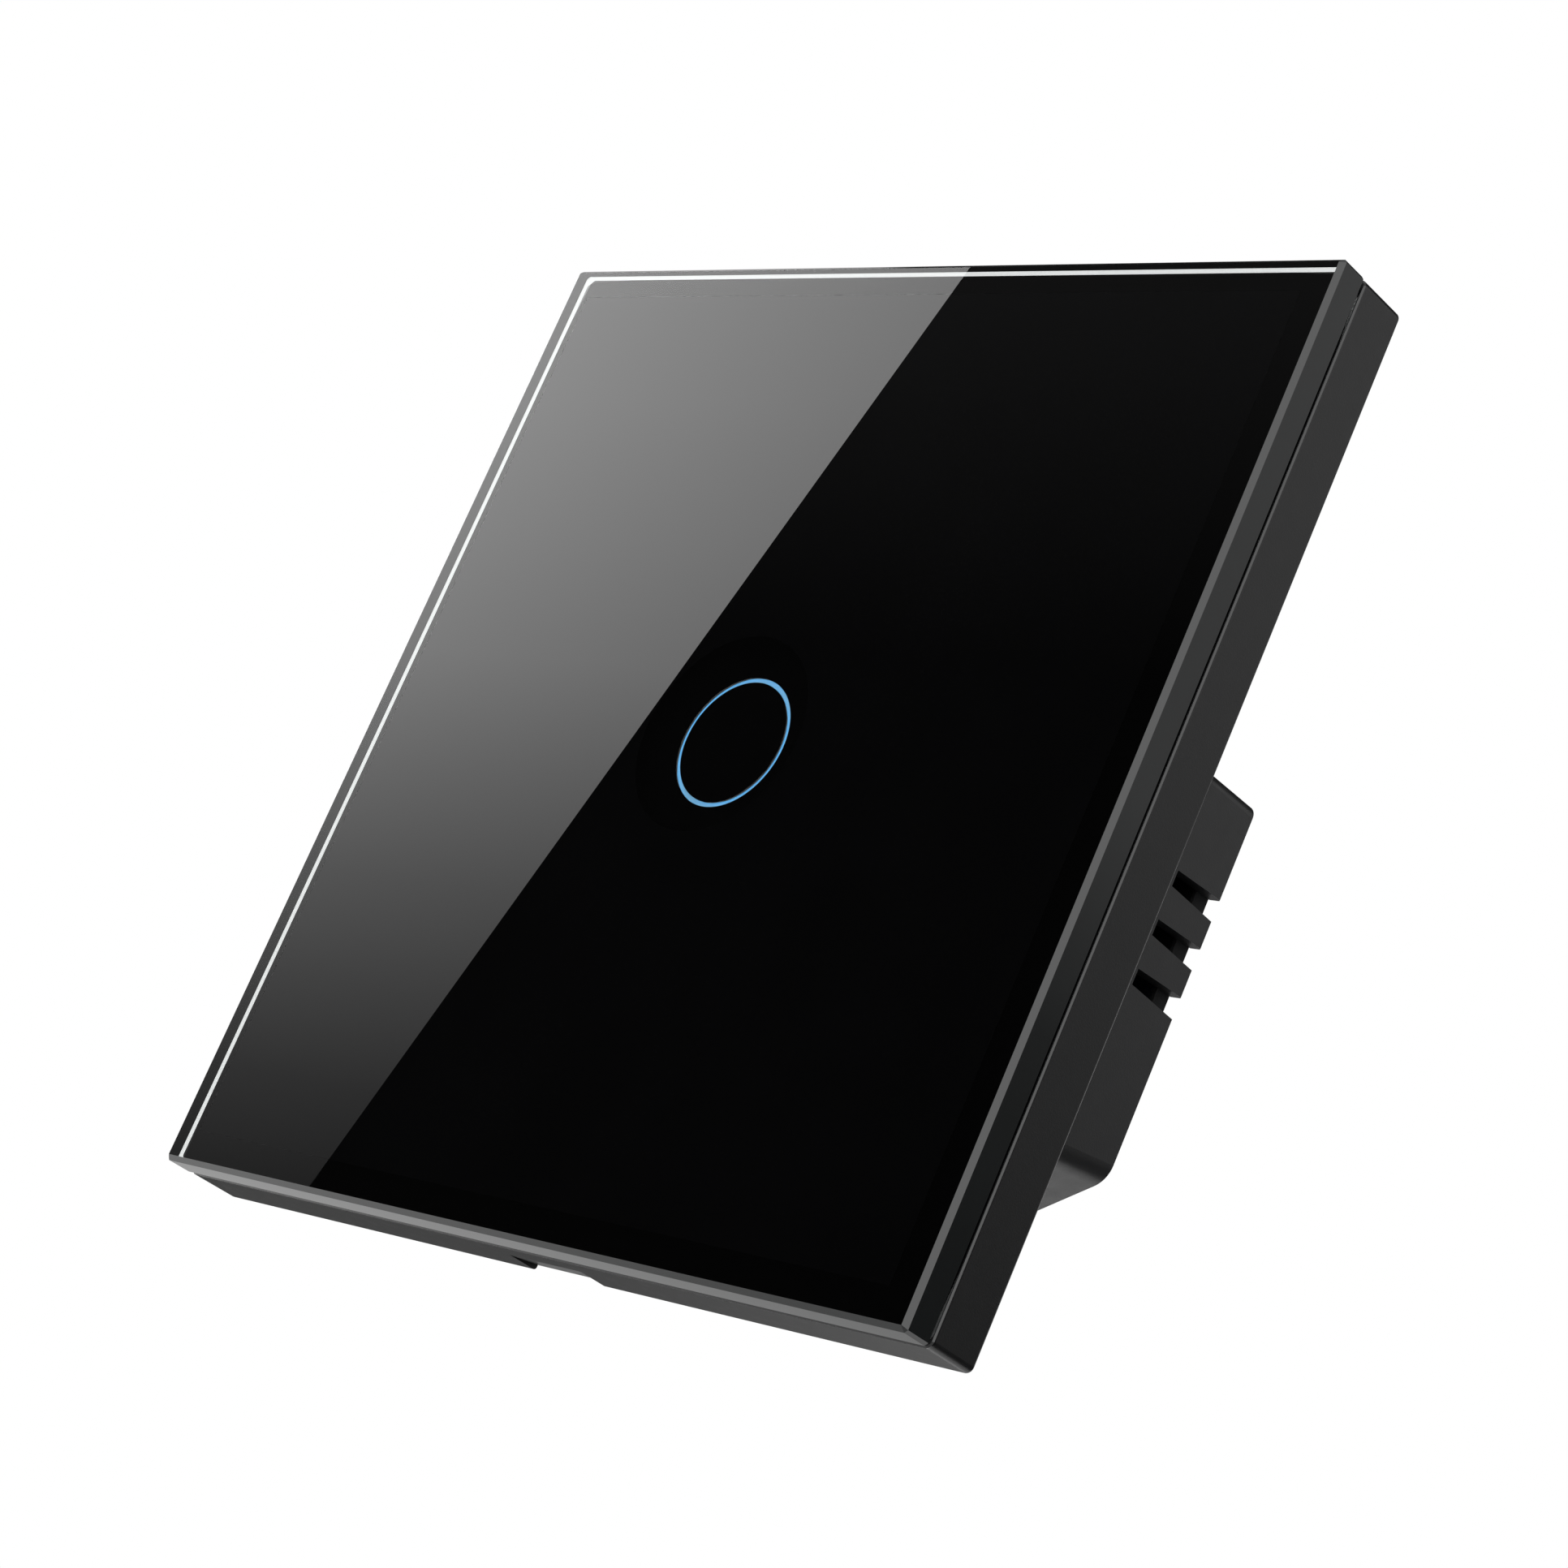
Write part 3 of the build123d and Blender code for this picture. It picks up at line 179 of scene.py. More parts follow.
class MetalSettings(bpy.types.PropertyGroup):
    """Screws, wires and pins."""
    thread_pitch: length("Thread pitch", "Rise of a screw thread in one turn", 0.5)
    thread_depth: length("Thread depth", "Height of a screw thread's ridge", 0.12)
    cover_thread: length("Cover screw", "Diameter of the cover screws' thread", 2.6)
    cover_head: length("Cover screw head", "Diameter of the cover screws' heads", 4.6)
    cover_head_height: length("Cover screw head height", "Height of the cover screws' heads", 1.2)
    clamp_thread: length("Terminal screw", "Diameter of the terminal screws' thread", 3)
    clamp_head_height: length("Terminal screw head height", "Height of the terminal screws' heads", 1.7)
    coil_wire: length("Coil wire", "Thickness of the relay coil's wire", 0.22)
    coil_bore: length("Coil bore", "Radius of the hole in the relay coil", 2.7)
    steel: shade("Steel", "Zinc plated steel", 0.60, 0.61, 0.63)
    brass: shade("Brass", "Stamped brass", 0.72, 0.50, 0.20)
    copper: shade("Copper", "Enamelled copper wire", 0.55, 0.17, 0.05)


class BoardSettings(bpy.types.PropertyGroup):
    """Circuit boards and the parts on them."""
    mask: shade("Solder mask", "Green solder mask of the boards", 0.008, 0.09, 0.03)
    track: length("Track spacing", "Spacing of the copper tracks under the mask", 1.27)
    solder: shade("Solder", "Tin of the solder joints", 0.66, 0.67, 0.69)
    pin: length("Header pin", "Thickness of a header pin", 0.64)
    header_pitch: length("Header pitch", "Spacing of the header pins", 2.54)
    header_pins: count("Header pins", "Number of header pins", 5)
    header_joint: place("Header joint", "Foot radius, tip radius and height of a header pin's solder joint",
                        0.85, 0.42, 0.3)
    relay_pin: length("Relay pin", "Width of a relay pin", 1)
    tail: length("Strip tail", "Depth of a contact strip's tail", 0.8)
    power_joint: place("Power joint", "Foot radius, tip radius and height of a joint on the power board",
                       1.25, 0.6, 0.6)
    legs: count("Chip legs", "Number of legs on each side of a chip", 4)
    leg_pitch: length("Leg pitch", "Spacing of the chip legs", 1.27)
    leg_width: length("Leg width", "Width of a chip leg", 0.42)
    leg_thickness: length("Leg thickness", "Thickness of a chip leg", 0.2)
    leg_reach: length("Leg reach", "How far a chip leg reaches out of its body", 1)
    chip_bevel: length("Chip bevel", "Bevel round a chip's body", 0.15)
    capacitor_end: length("Capacitor end", "Length of a chip capacitor's tinned end", 0.35)


class StageSettings(bpy.types.PropertyGroup):
    """Camera, floor and the cards that the glass mirrors."""
    camera_place: place("Camera", "Place of the camera", 247.419, -217.063, -94.002)
    camera_forward: direction("View", "Direction in which the camera looks", -0.72278, 0.63445, 0.27398)
    camera_up: direction("Up", "Direction that is up in the picture", -0.07482, -0.46596, 0.88164)
    lens: FloatProperty(name="Lens", description="Focal length for a 36 mm wide sensor", default=99.55,
                        unit="CAMERA")
    floor_height: FloatProperty(name="Floor", description="Height of the floor", default=-0.13,
                                unit="LENGTH", subtype="DISTANCE")
    edge_top: place("Edge above", "Where the mirrored edge crosses the panel's top", 4.92, -8, 42.54)
    edge_bottom: place("Edge below", "Where the mirrored edge crosses the panel's bottom", -23.6, -8, -42.5)
    card_distance: length("Card distance", "Distance of the mirrored cards in front of the wall", 600)
    card_glow: strength("Card brightness", "Brightness of the pale card at its top", 3.6)
    side_distance: length("Side card distance", "Distance of the card beside the panel from its middle", 300)
    strip_glow: strength("Strip brightness", "Brightness of the strip that the right chamfer mirrors", 3.3)


# Nodes of materials and of geometry

def feed(tree, socket, value):
    """Wires an input, or gives it a plain value."""
    if isinstance(value, bpy.types.NodeSocket):
        tree.links.new(value, socket)
    else:
        socket.default_value = value


def node(tree, kind, wired=None, **settings):
    """Adds a node with its settings, and feeds its inputs."""
    made = tree.nodes.new(kind)
    for name, value in settings.items():
        setattr(made, name, value)
    for name, value in (wired or {}).items():
        feed(tree, made.inputs[name], value)
    return made


def output(tree, kind, wired=None, **settings):
    """The first output of a new node."""
    return node(tree, kind, wired, **settings).outputs[0]


def maths(tree, operation, *values):
    return output(tree, "ShaderNodeMath", dict(enumerate(values)), operation=operation)


def scaled_colour(colour, factor):
    return [min(1, c*factor) for c in colour[:3]] + [1]


class Finish:
    """A material with a Principled shader, and the patterns that vary it over the surface."""

    def __init__(self, name, colour, roughness, **plain):
        self.material = bpy.data.materials.new(name)
        self.material.use_nodes = True
        self.tree = self.material.node_tree
        self.shader = self.tree.nodes["Principled BSDF"]
        self.colour = [*colour[:3], 1]
        self.set("Base Color", self.colour)
        self.set("Roughness", roughness)
        for key, value in plain.items():
            self.set(key.replace("_", " "), value)
        self.coordinates = node(self.tree, "ShaderNodeTexCoord").outputs["Object"]

    def set(self, socket, value):
        feed(self.tree, self.shader.inputs[socket], value)

    def noise(self, size, detail=2.0, stretch=(1, 1, 1)):
        """A noise whose grains have about the given size, squeezed by a factor along each axis."""
        where = output(self.tree, "ShaderNodeMapping", {"Vector": self.coordinates, "Scale": stretch})
        return node(self.tree, "ShaderNodeTexNoise", {
            "Vector": where, "Scale": 1/size, "Detail": detail}).outputs["Fac"]

    def mapped(self, value, low, high, start=0.3, end=0.7):
        """What runs from low to high while the value runs from start to end. Most noise lies in 0.3 to 0.7."""
        return output(self.tree, "ShaderNodeMapRange", {
            "Value": value, "From Min": start, "From Max": end, "To Min": low, "To Max": high})

    def math(self, operation, *values):
        return maths(self.tree, operation, *values)

    def axis(self, name):
        return node(self.tree, "ShaderNodeSeparateXYZ", {0: self.coordinates}).outputs[name]

    def by_side(self, outside, inside):
        """One value for rays that meet the surface from outside, and one for those from inside."""
        backfacing = node(self.tree, "ShaderNodeNewGeometry").outputs["Backfacing"]
        return self.mapped(backfacing, outside, inside, 0.0, 1.0)

    def blended(self, factor, first, second):
        """Mixes two colours, which are sockets 6 and 7 of a mix node. Its output 2 gives a colour."""
        return node(self.tree, "ShaderNodeMix", {0: factor, 6: first, 7: second}, data_type="RGBA").outputs[2]

    def vary(self, size, spread, roughness=None):
        """Mottles the colour by a share each way, and the roughness between two values."""
        dark, light = scaled_colour(self.colour, 1 - spread), scaled_colour(self.colour, 1 + spread)
        self.set("Base Color", self.blended(self.mapped(self.noise(size, 3.0), 0, 1), dark, light))
        if roughness:
            self.set("Roughness", self.mapped(self.noise(size*0.6, 3.0), *roughness))

    def raise_by(self, height, distance, strength=1.0):
        self.set("Normal", output(self.tree, "ShaderNodeBump", {
            "Height": height, "Distance": distance, "Strength": strength}))
        return self

    def grained(self, size, depth):
        """Roughens the surface with a fine even grain."""
        return self.raise_by(self.noise(size), depth)


def worn(roughness):
    """The roughness of a moulding's rubbed and of its fresh spots."""
    return roughness - 0.025, roughness + 0.03


def moulded(name, colour, settings, roughness=None):
    """Satin moulded plastic: fine spark-eroded grain, slight mottling and rubbed spots."""
    base = roughness or settings.roughness
    finish = Finish(name, colour, base, Specular_IOR_Level=settings.sheen)
    finish.vary(0.002, 0.07, worn(base))
    return finish.grained(settings.grain, settings.grain_depth)


def glossy_moulded(name, colour, roughness, mottle=0.06):
    """Glossy plastic or lacquer."""
    finish = Finish(name, colour, roughness)
    finish.vary(0.003, mottle, (roughness - 0.05, roughness + 0.05))
    return finish.grained(0.0006, 0.000002).material


def plated(name, colour, roughness=0.28, along=(1, 1, 1)):
    """Plated metal with fine rubbing marks, which are long in the direction with the small factor."""
    finish = Finish(name, colour, roughness, Metallic=1.0)
    finish.vary(0.0012, 0.05, (roughness - 0.04, roughness + 0.06))
    return finish.raise_by(finish.noise(0.0003, 3.0, along), 0.000006, 0.6).material


def dress(material, *names):
    """Gives CAD nodes one finish each in place of what they came with."""
    for name in names:
        mesh = nodes[name].data
        mesh.materials.clear()
        mesh.materials.append(material)


# Meshes and trees

def linked(name, data):
    """A new object in the scene."""
    made = bpy.data.objects.new(name, data)
    bpy.context.scene.collection.objects.link(made)
    return made


def plain_mesh(name, points, edges=(), faces=()):
    mesh = bpy.data.meshes.new(name)
    mesh.from_pydata(points, edges, faces)
    return mesh


def settle(piece, body, stands_for):
    """Lets a piece ride on a body and stand for a CAD node, or for none."""
    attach(piece, body)
    if stands_for:
        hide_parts(stands_for)
    return piece


def mesh_piece(name, build, material, body, stands_for):
    """A new piece from a bmesh function."""
    mesh = bpy.data.meshes.new(name)
    shape = bmesh.new()
    build(shape)
    bmesh.ops.recalc_face_normals(shape, faces=shape.faces)
    shape.to_mesh(mesh)
    shape.free()
    mesh.materials.append(material)
    return settle(linked(name, mesh), body, stands_for)


def stage_card(name, corners, material, seen=("glossy",)):
    """A flat card of the stage that only some kinds of ray see."""
    card = linked(name, plain_mesh(name, corners, (), [range(len(corners))]))
    card.data.materials.append(material)
    for kind in RAYS:
        setattr(card, f"visible_{kind}", kind in seen)


def new_tree(name, numbers, **others):
    """A geometry tree with named inputs, and what gives their values inside it."""
    tree = bpy.data.node_groups.new(name, "GeometryNodeTree")
    tree.interface.new_socket("Geometry", in_out="OUTPUT", socket_type="NodeSocketGeometry")
    kinds = {"Geometry": "Geometry", **dict.fromkeys(numbers, "Float"), **others, "Material": "Material"}
    for label, kind in kinds.items():
        tree.interface.new_socket(label, in_out="INPUT", socket_type="NodeSocket" + kind)
    return tree, tree.nodes.new("NodeGroupInput").outputs


def end_tree(tree, given, shape):
    real = output(tree, "GeometryNodeRealizeInstances", {0: shape})
    dressed = output(tree, "GeometryNodeSetMaterial", {"Geometry": real, "Material": given["Material"]})
    tree.links.new(dressed, tree.nodes.new("NodeGroupOutput").inputs[0])
    return tree


def scaled(tree, value, factor):
    return maths(tree, "MULTIPLY", value, factor)


def vector(tree, x, y, z):
    return output(tree, "ShaderNodeCombineXYZ", {0: x, 1: y, 2: z})


def raised(tree, shape, height):
    return output(tree, "GeometryNodeTransform", {
        "Geometry": shape, "Translation": vector(tree, 0.0, 0.0, height)})


def turned(tree, shape, *rotation):
    return output(tree, "GeometryNodeTransform", {"Geometry": shape, "Rotation": rotation})


def joined(tree, *shapes):
    made = tree.nodes.new("GeometryNodeJoinGeometry")
    for shape in shapes:
        tree.links.new(shape, made.inputs[0])
    return made.outputs[0]


def less(tree, shape, *tools):
    """A shape with the tools cut out of it."""
    cut = node(tree, "GeometryNodeMeshBoolean", {0: shape}, operation="DIFFERENCE")
    for tool in tools:
        tree.links.new(tool, cut.inputs[1])
    return cut.outputs[0]


def cylinder(tree, sides, radius, depth):
    return output(tree, "GeometryNodeMeshCylinder", {
        "Vertices": sides, "Radius": radius, "Depth": depth})


def block(tree, x, y, z):
    return output(tree, "GeometryNodeMeshCube", {"Size": vector(tree, x, y, z)})


def copies(tree, points, shape, *rotation):
    return output(tree, "GeometryNodeInstanceOnPoints", {
        "Points": points, "Instance": shape, "Rotation": rotation})


def swept(tree, path, profile):
    return output(tree, "GeometryNodeCurveToMesh", {
        "Curve": path, "Profile Curve": profile, "Fill Caps": True})


def wound(tree, radius, wire_radius, turns, height, steps, sides=6):
    """A wire wound along Z, from the height zero up."""
    path = output(tree, "GeometryNodeCurveSpiral", {
        "Resolution": steps, "Rotations": turns, "Start Radius": radius, "End Radius": radius,
        "Height": height, "Reverse": True})
    around = output(tree, "GeometryNodeCurvePrimitiveCircle", {
        "Resolution": sides, "Radius": wire_radius})
    return swept(tree, path, around)


def end_on_line(tree, given, *shapes):
    """Ends a tree: the shapes that stand on Z point along Y, and are repeated on a line of places."""
    line = output(tree, "GeometryNodeMeshLine", {
        "Count": given["Count"], "Start Location": given["Place"], "Offset": given["Step"]})
    return end_tree(tree, given, copies(tree, line, joined(tree, *shapes), -math.pi/2, 0, 0))


def grown(name, tree, values, material, body, stands_for, source=None):
    """A piece that a geometry tree makes, turned into a plain mesh."""
    piece = linked(name, source or bpy.data.meshes.new(name + "_source"))
    modifier = piece.modifiers.new("grown", "NODES")
    modifier.node_group = tree
    values = dict(values, Material=material)
    for socket in tree.interface.items_tree:
        if socket.in_out == "INPUT" and socket.name in values:
            modifier[socket.identifier] = values[socket.name]
    ready = piece.evaluated_get(bpy.context.evaluated_depsgraph_get())
    mesh = bpy.data.meshes.new_from_object(ready)
    if not mesh.polygons:
        raise RuntimeError(f"{name}: its tree made no faces")
    piece.modifiers.clear()
    piece.data = mesh
    return settle(piece, body, stands_for)


def screw_tree():
    """A screw: shank with a ridge wound round it, and a head with a slot or a cross."""
    tree, given = new_tree("screw", (
        "Shank radius", "Shank length", "Head radius", "Head height", "Pitch", "Ridge", "Slot width",
        "Slot depth", "Slot length"), Cross="Bool", **ROW)
    core = maths(tree, "SUBTRACT", given["Shank radius"], given["Ridge"])
    shank_length = given["Shank length"]
    shank = raised(tree, cylinder(tree, 32, core, shank_length), scaled(tree, shank_length, 0.5))
    threaded = scaled(tree, shank_length, THREADED)
    turns = maths(tree, "DIVIDE", threaded, given["Pitch"])
    ridge = wound(tree, core, given["Ridge"], turns, threaded, 32, 4)
    head = output(tree, "GeometryNodeMeshCone", {
        "Vertices": 48, "Radius Top": scaled(tree, given["Head radius"], HEAD_TOP),
        "Radius Bottom": given["Head radius"], "Depth": given["Head height"]})
    across = block(tree, given["Slot length"], given["Slot width"], scaled(tree, given["Slot depth"], 2.0))
    second = output(tree, "GeometryNodeSwitch", {
        "Switch": given["Cross"], "True": turned(tree, across, 0, 0, math.pi/2)},
        input_type="GEOMETRY")
    slots = [raised(tree, tool, given["Head height"]) for tool in (across, second)]
    return end_on_line(tree, given, shank, ridge, raised(tree, less(tree, head, *slots), shank_length))


def spring_tree():
    """A compression spring of round wire between two square pads."""
    tree, given = new_tree("touch_spring", (
        "Radius", "Wire", "Turns", "Height", "Pad side", "Pad thickness"), **ROW)
    half_wire = scaled(tree, given["Wire"], 0.5)
    edge = maths(tree, "ADD", given["Pad thickness"], half_wire)
    inner = maths(tree, "SUBTRACT", given["Height"], scaled(tree, edge, 2.0))
    coil = raised(tree, wound(tree, given["Radius"], half_wire, given["Turns"], inner, 40, 10), edge)
    pad = block(tree, given["Pad side"], given["Pad side"], given["Pad thickness"])
    half_pad = scaled(tree, given["Pad thickness"], 0.5)
    top = raised(tree, pad, maths(tree, "SUBTRACT", given["Height"], half_pad))
    return end_on_line(tree, given, coil, raised(tree, pad, half_pad), top)


def coil_tree():
    """One layer of wire on a tube."""
    tree, given = new_tree("coil", ("Radius", "Wire", "Height", "Bore"), **ROW)
    height = given["Height"]
    half_wire = scaled(tree, given["Wire"], 0.5)
    inner = maths(tree, "SUBTRACT", height, given["Wire"])
    path_radius = maths(tree, "SUBTRACT", given["Radius"], half_wire)
    turns = maths(tree, "DIVIDE", inner, given["Wire"])
    layer = raised(tree, wound(tree, path_radius, half_wire, turns, inner, 40), half_wire)
    hole = cylinder(tree, 64, given["Bore"], scaled(tree, height, 2.0))
    tube = less(tree, cylinder(tree, 64, path_radius, height), hole)
    return end_on_line(tree, given, layer, raised(tree, tube, scaled(tree, height, 0.5)))


def legs_tree():
    """Two rows of bent legs along X. The path of one leg is the mesh that the tree is given."""
    tree, given = new_tree("legs", ("Pitch", "Width", "Thickness"), Place="Vector", Count="Int")
    path = output(tree, "GeometryNodeMeshToCurve", {"Mesh": given["Geometry"]})
    strip = output(tree, "GeometryNodeCurvePrimitiveQuadrilateral", {
        "Width": given["Width"], "Height": given["Thickness"]})
    reach = maths(tree, "MULTIPLY", given["Pitch"], maths(tree, "SUBTRACT", given["Count"], 1.0))
    line = output(tree, "GeometryNodeMeshLine", {
        "Count": given["Count"], "Start Location": vector(tree, scaled(tree, reach, -0.5), 0.0, 0.0),
        "Offset": vector(tree, given["Pitch"], 0.0, 0.0)})
    row = copies(tree, line, swept(tree, path, strip), 0, 0, 0)
    both = output(tree, "GeometryNodeTransform", {
        "Geometry": joined(tree, row, turned(tree, row, 0, math.pi, 0)),
        "Translation": given["Place"]})
    return end_tree(tree, given, both)


def joints_tree():
    """A cone of solder at each point of the given mesh, which points along Y."""
    tree, given = new_tree("joints", ("Foot radius", "Tip radius", "Height"))
    cone = output(tree, "GeometryNodeMeshCone", {
        "Vertices": 20, "Radius Top": given["Tip radius"], "Radius Bottom": given["Foot radius"],
        "Depth": given["Height"]})
    return end_tree(tree, given, copies(tree, given["Geometry"], cone, math.pi/2, 0, 0))


# Glass, print and light ring

class SWITCH_OT_panel(bpy.types.Operator):
    """Finishes the glass and lays the black print with its clear ring behind it"""
    bl_idname = "switch.panel"
    bl_label = "Glass and print"

    def execute(self, context):
        panel = context.scene.switch_panel
        glass = Finish("polished_glass", panel.tint, 0.0, Transmission_Weight=1.0, IOR=panel.ior)
        clear = scaled_colour(panel.tint, 1.02)
        glass.set("Base Color", glass.blended(glass.mapped(glass.noise(0.03), 0, 1), panel.tint, clear))
        ground = Finish("ground_edge_painted_glow", panel.ground_colour, 0.85, Emission_Color=panel.ground_colour)
        ground.vary(0.0008, 0.04, (0.8, 0.95))
        # Painted light: the ground chamfer gives off light only towards the inside of the glass, which stands
        # in for its bright line
        ground.set("Emission Strength", ground.by_side(0.0, panel.ground_painted_glow))
        sheet = mesh_piece("glass_sheet", lambda shape: glass_sheet(shape, panel), glass.material,
                           "front_panel", "glass_panel")
        sheet.data.materials.append(ground.material)
        # The edge and front chamfer get a painted reflection: an opaque dark colour for the print mirrored in
        # the glass. The face over the print takes the print's own colour
        for name, colour in (("glass_side_painted_reflection", panel.side_painted_reflection), ("glass_over_print", panel.print_colour)):
            dark = Finish(name, colour, 0.0, IOR=panel.ior)
            dark.vary(0.01, 0.2)
            dark.set("Specular IOR Level", dark.by_side(0.5, 0.0))
            sheet.data.materials.append(dark.material)
        ink = Finish("black_print", panel.print_colour, 0.6, Specular_IOR_Level=0.0)
        ink.vary(0.006, 0.15, (0.55, 0.65))
        low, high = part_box("back_print")
        front, back = low.y - panel.print_bite, high.y
        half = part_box("glass_panel")[1].x - panel.back_chamfer
        ring = panel.ring_diameter/2
        for name, build in (
                ("print_sheet", lambda shape: pierced_sheet(shape, half, front, back, ring, panel.corner)),
                ("print_disc", lambda shape: round_sheet(shape, front, back, ring - panel.ring_line))):
            mesh_piece(name, build, ink.material, "front_panel", "back_print")
        tape = Finish("foam_tape", (0.03, 0.03, 0.03), 0.9)
        tape.vary(0.001, 0.3, (0.8, 0.95))
        dress(tape.grained(0.0003, 0.00005).material, "bonding_tape")
        return {"FINISHED"}


def circle(radius, y):
    """Points round the Y axis."""
    return [Vector((radius*math.cos(a), y, radius*math.sin(a)))
            for a in (2*math.pi*n/ROUND_STEPS for n in range(ROUND_STEPS))]


def square_ring(half, cut, y):
    """A square with cut corners, in the order that its sides are walked."""
    near = half - cut
    return [Vector((x, y, z)) for x, z in (
        (half, -near), (half, near), (near, half), (-near, half),
        (-half, near), (-half, -near), (-near, -half), (near, -half))]


def add_row(shape, points):
    return [shape.verts.new(point) for point in points]


def add_wall(shape, first, second):
    """Joins two closed rows of points by faces."""
    return [shape.faces.new((first[n - 1], first[n], second[n], second[n - 1])) for n in range(len(first))]


def glass_sheet(shape, panel):
    """The glass: clear rim and middle, painted dark reflection on its edges, ground back chamfer, dark face
    over the print.
    """
    low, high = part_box("glass_panel")
    face_facet = panel.facet - panel.front_chamfer*(2 - math.sqrt(2))
    rows = [add_row(shape, square_ring(high.x - inset, facet, y)) for y, inset, facet in (
        (low.y, panel.rim, face_facet), (low.y, panel.front_chamfer, face_facet),
        (low.y + panel.front_chamfer, 0, panel.facet), (high.y - panel.back_chamfer, 0, panel.facet),
        (high.y, panel.back_chamfer, panel.back_facet))]
    middle = add_row(shape, circle(panel.window, low.y))
    shape.faces.new(rows[-1])
    shape.faces.new(middle)
    for first, second, finish in zip(rows, rows[1:], (CLEAR, SIDE, SIDE, GROUND)):
        for face in add_wall(shape, first, second):
            face.material_index = finish
    for face in fan_between(shape, middle, rows[0]):
        face.material_index = OVER_PRINT


def fan_between(shape, inner, outer):
    """Fills the flat space between a round row of points and a row of eight round it."""
    faces = []
    for n, corner in enumerate(outer):
        following = outer[(n + 1) % len(outer)]
        direction, ahead = (math.atan2(vert.co.z, vert.co.x)/(2*math.pi) for vert in (corner, following))
        first = round(direction*len(inner))
        steps = round((ahead - direction) % 1*len(inner))
        row = [inner[(first + k) % len(inner)] for k in range(steps + 1)]
        faces.append(shape.faces.new([corner, following] + row[::-1]))
    return faces


def pierced_sheet(shape, half, front, back, radius, corner):
    """A square sheet with cut corners and a round hole in the middle."""
    rows = []
    for y in (front, back):
        rim = []
        for point in circle(1, y):
            reach = half/max(abs(point.x), abs(point.z))
            x, z = point.x*reach, point.z*reach
            excess = abs(x) + abs(z) - (2*half - corner)
            if excess > 0:
                x -= math.copysign(excess/2, x)
                z -= math.copysign(excess/2, z)
            rim.append((x, y, z))
        rows += [add_row(shape, rim), add_row(shape, circle(radius, y))]
    for first, second in ((0, 1), (2, 3), (0, 2), (1, 3)):
        add_wall(shape, rows[first], rows[second])


def round_sheet(shape, front, back, radius):
    near, far = (add_row(shape, circle(radius, y)) for y in (front, back))
    shape.faces.new(near)
    shape.faces.new(far)
    add_wall(shape, near, far)


class SWITCH_OT_light(bpy.types.Operator):
    """Finishes the light guide, its lamps, the shield and the touch spring"""
    bl_idname = "switch.light"
    bl_label = "Light ring"

    def execute(self, context):
        light = context.scene.switch_light
        guide = Finish("clear_guide", (0.3, 0.55, 0.75), 0.25, Transmission_Weight=0.6, IOR=1.49,
                       Emission_Color=light.colour)
        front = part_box("light_guide")[0].y
        crest, foot, foot_share = front + 0.0002, front + 0.0012, 0.12
        guide.set("Emission Strength", guide.mapped(
            guide.axis("Y"), light.strength, foot_share*light.strength, crest, foot))
        dress(guide.grained(0.0002, 0.00001).material, "light_guide")
        lamp = Finish("lamp", (0.7, 0.75, 0.6), 0.3, Emission_Color=light.colour, Emission_Strength=0.6)
        lamp.vary(0.0005, 0.1, (0.25, 0.4))
        dress(lamp.material, "indicator_leds")
        foam = Finish("black_foam", (0.02, 0.02, 0.02), 0.95)
        foam.vary(0.0008, 0.4, (0.85, 1.0))
        dress(foam.grained(0.00035, 0.0001).material, "light_shield")
        low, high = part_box("touch_spring")
        middle = (low + high)/2
        grown("spring_wire", spring_tree(), {
            "Place": (middle.x, low.y, middle.z), "Count": 1, "Radius": light.spring_radius,
            "Wire": light.spring_wire, "Turns": light.spring_turns, "Height": high.y - low.y,
            "Pad side": high.x - low.x, "Pad thickness": light.spring_pad},
            plated("spring_tin", (0.7, 0.7, 0.71)), "base", "touch_spring")
        return {"FINISHED"}


class SWITCH_OT_plastics(bpy.types.Operator):
    """Finishes the frame, the mounting plate, the housing, the cover and the terminal block"""
    bl_idname = "switch.plastics"
    bl_label = "Moulded plastic"

    def execute(self, context):
        plastic = context.scene.switch_plastic
        dull = plastic.roughness
        skin = moulded("frame_plastic", plastic.frame_colour, plastic)
        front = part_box("front_frame")[0].y
        edge = skin.mapped(skin.axis("Y"), plastic.edge_roughness, dull, front + 0.0001, front + 0.0003)
        skin.set("Roughness", skin.math("MINIMUM", edge, skin.mapped(skin.noise(0.0012), *worn(dull))))
        dress(skin.material, "front_frame")
        dress(moulded("plate_plastic", plastic.housing_colour, plastic).material, "mounting_plate")
        dress(moulded("housing_plastic", plastic.housing_colour, plastic).material, "base_housing")
        cover = moulded("cover_plastic", plastic.frame_colour, plastic)
        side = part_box("rear_cover")[1].x
        from_middle = cover.math("ABSOLUTE", cover.axis("X"))
        matt = 0.95
        cover.set("Roughness", cover.mapped(from_middle, dull, matt, side - 0.0004, side - 0.0002))
        dress(cover.material, "rear_cover")
        dress(moulded("block_plastic", plastic.block_colour, plastic, 0.5).material, "terminal_block")
        return {"FINISHED"}


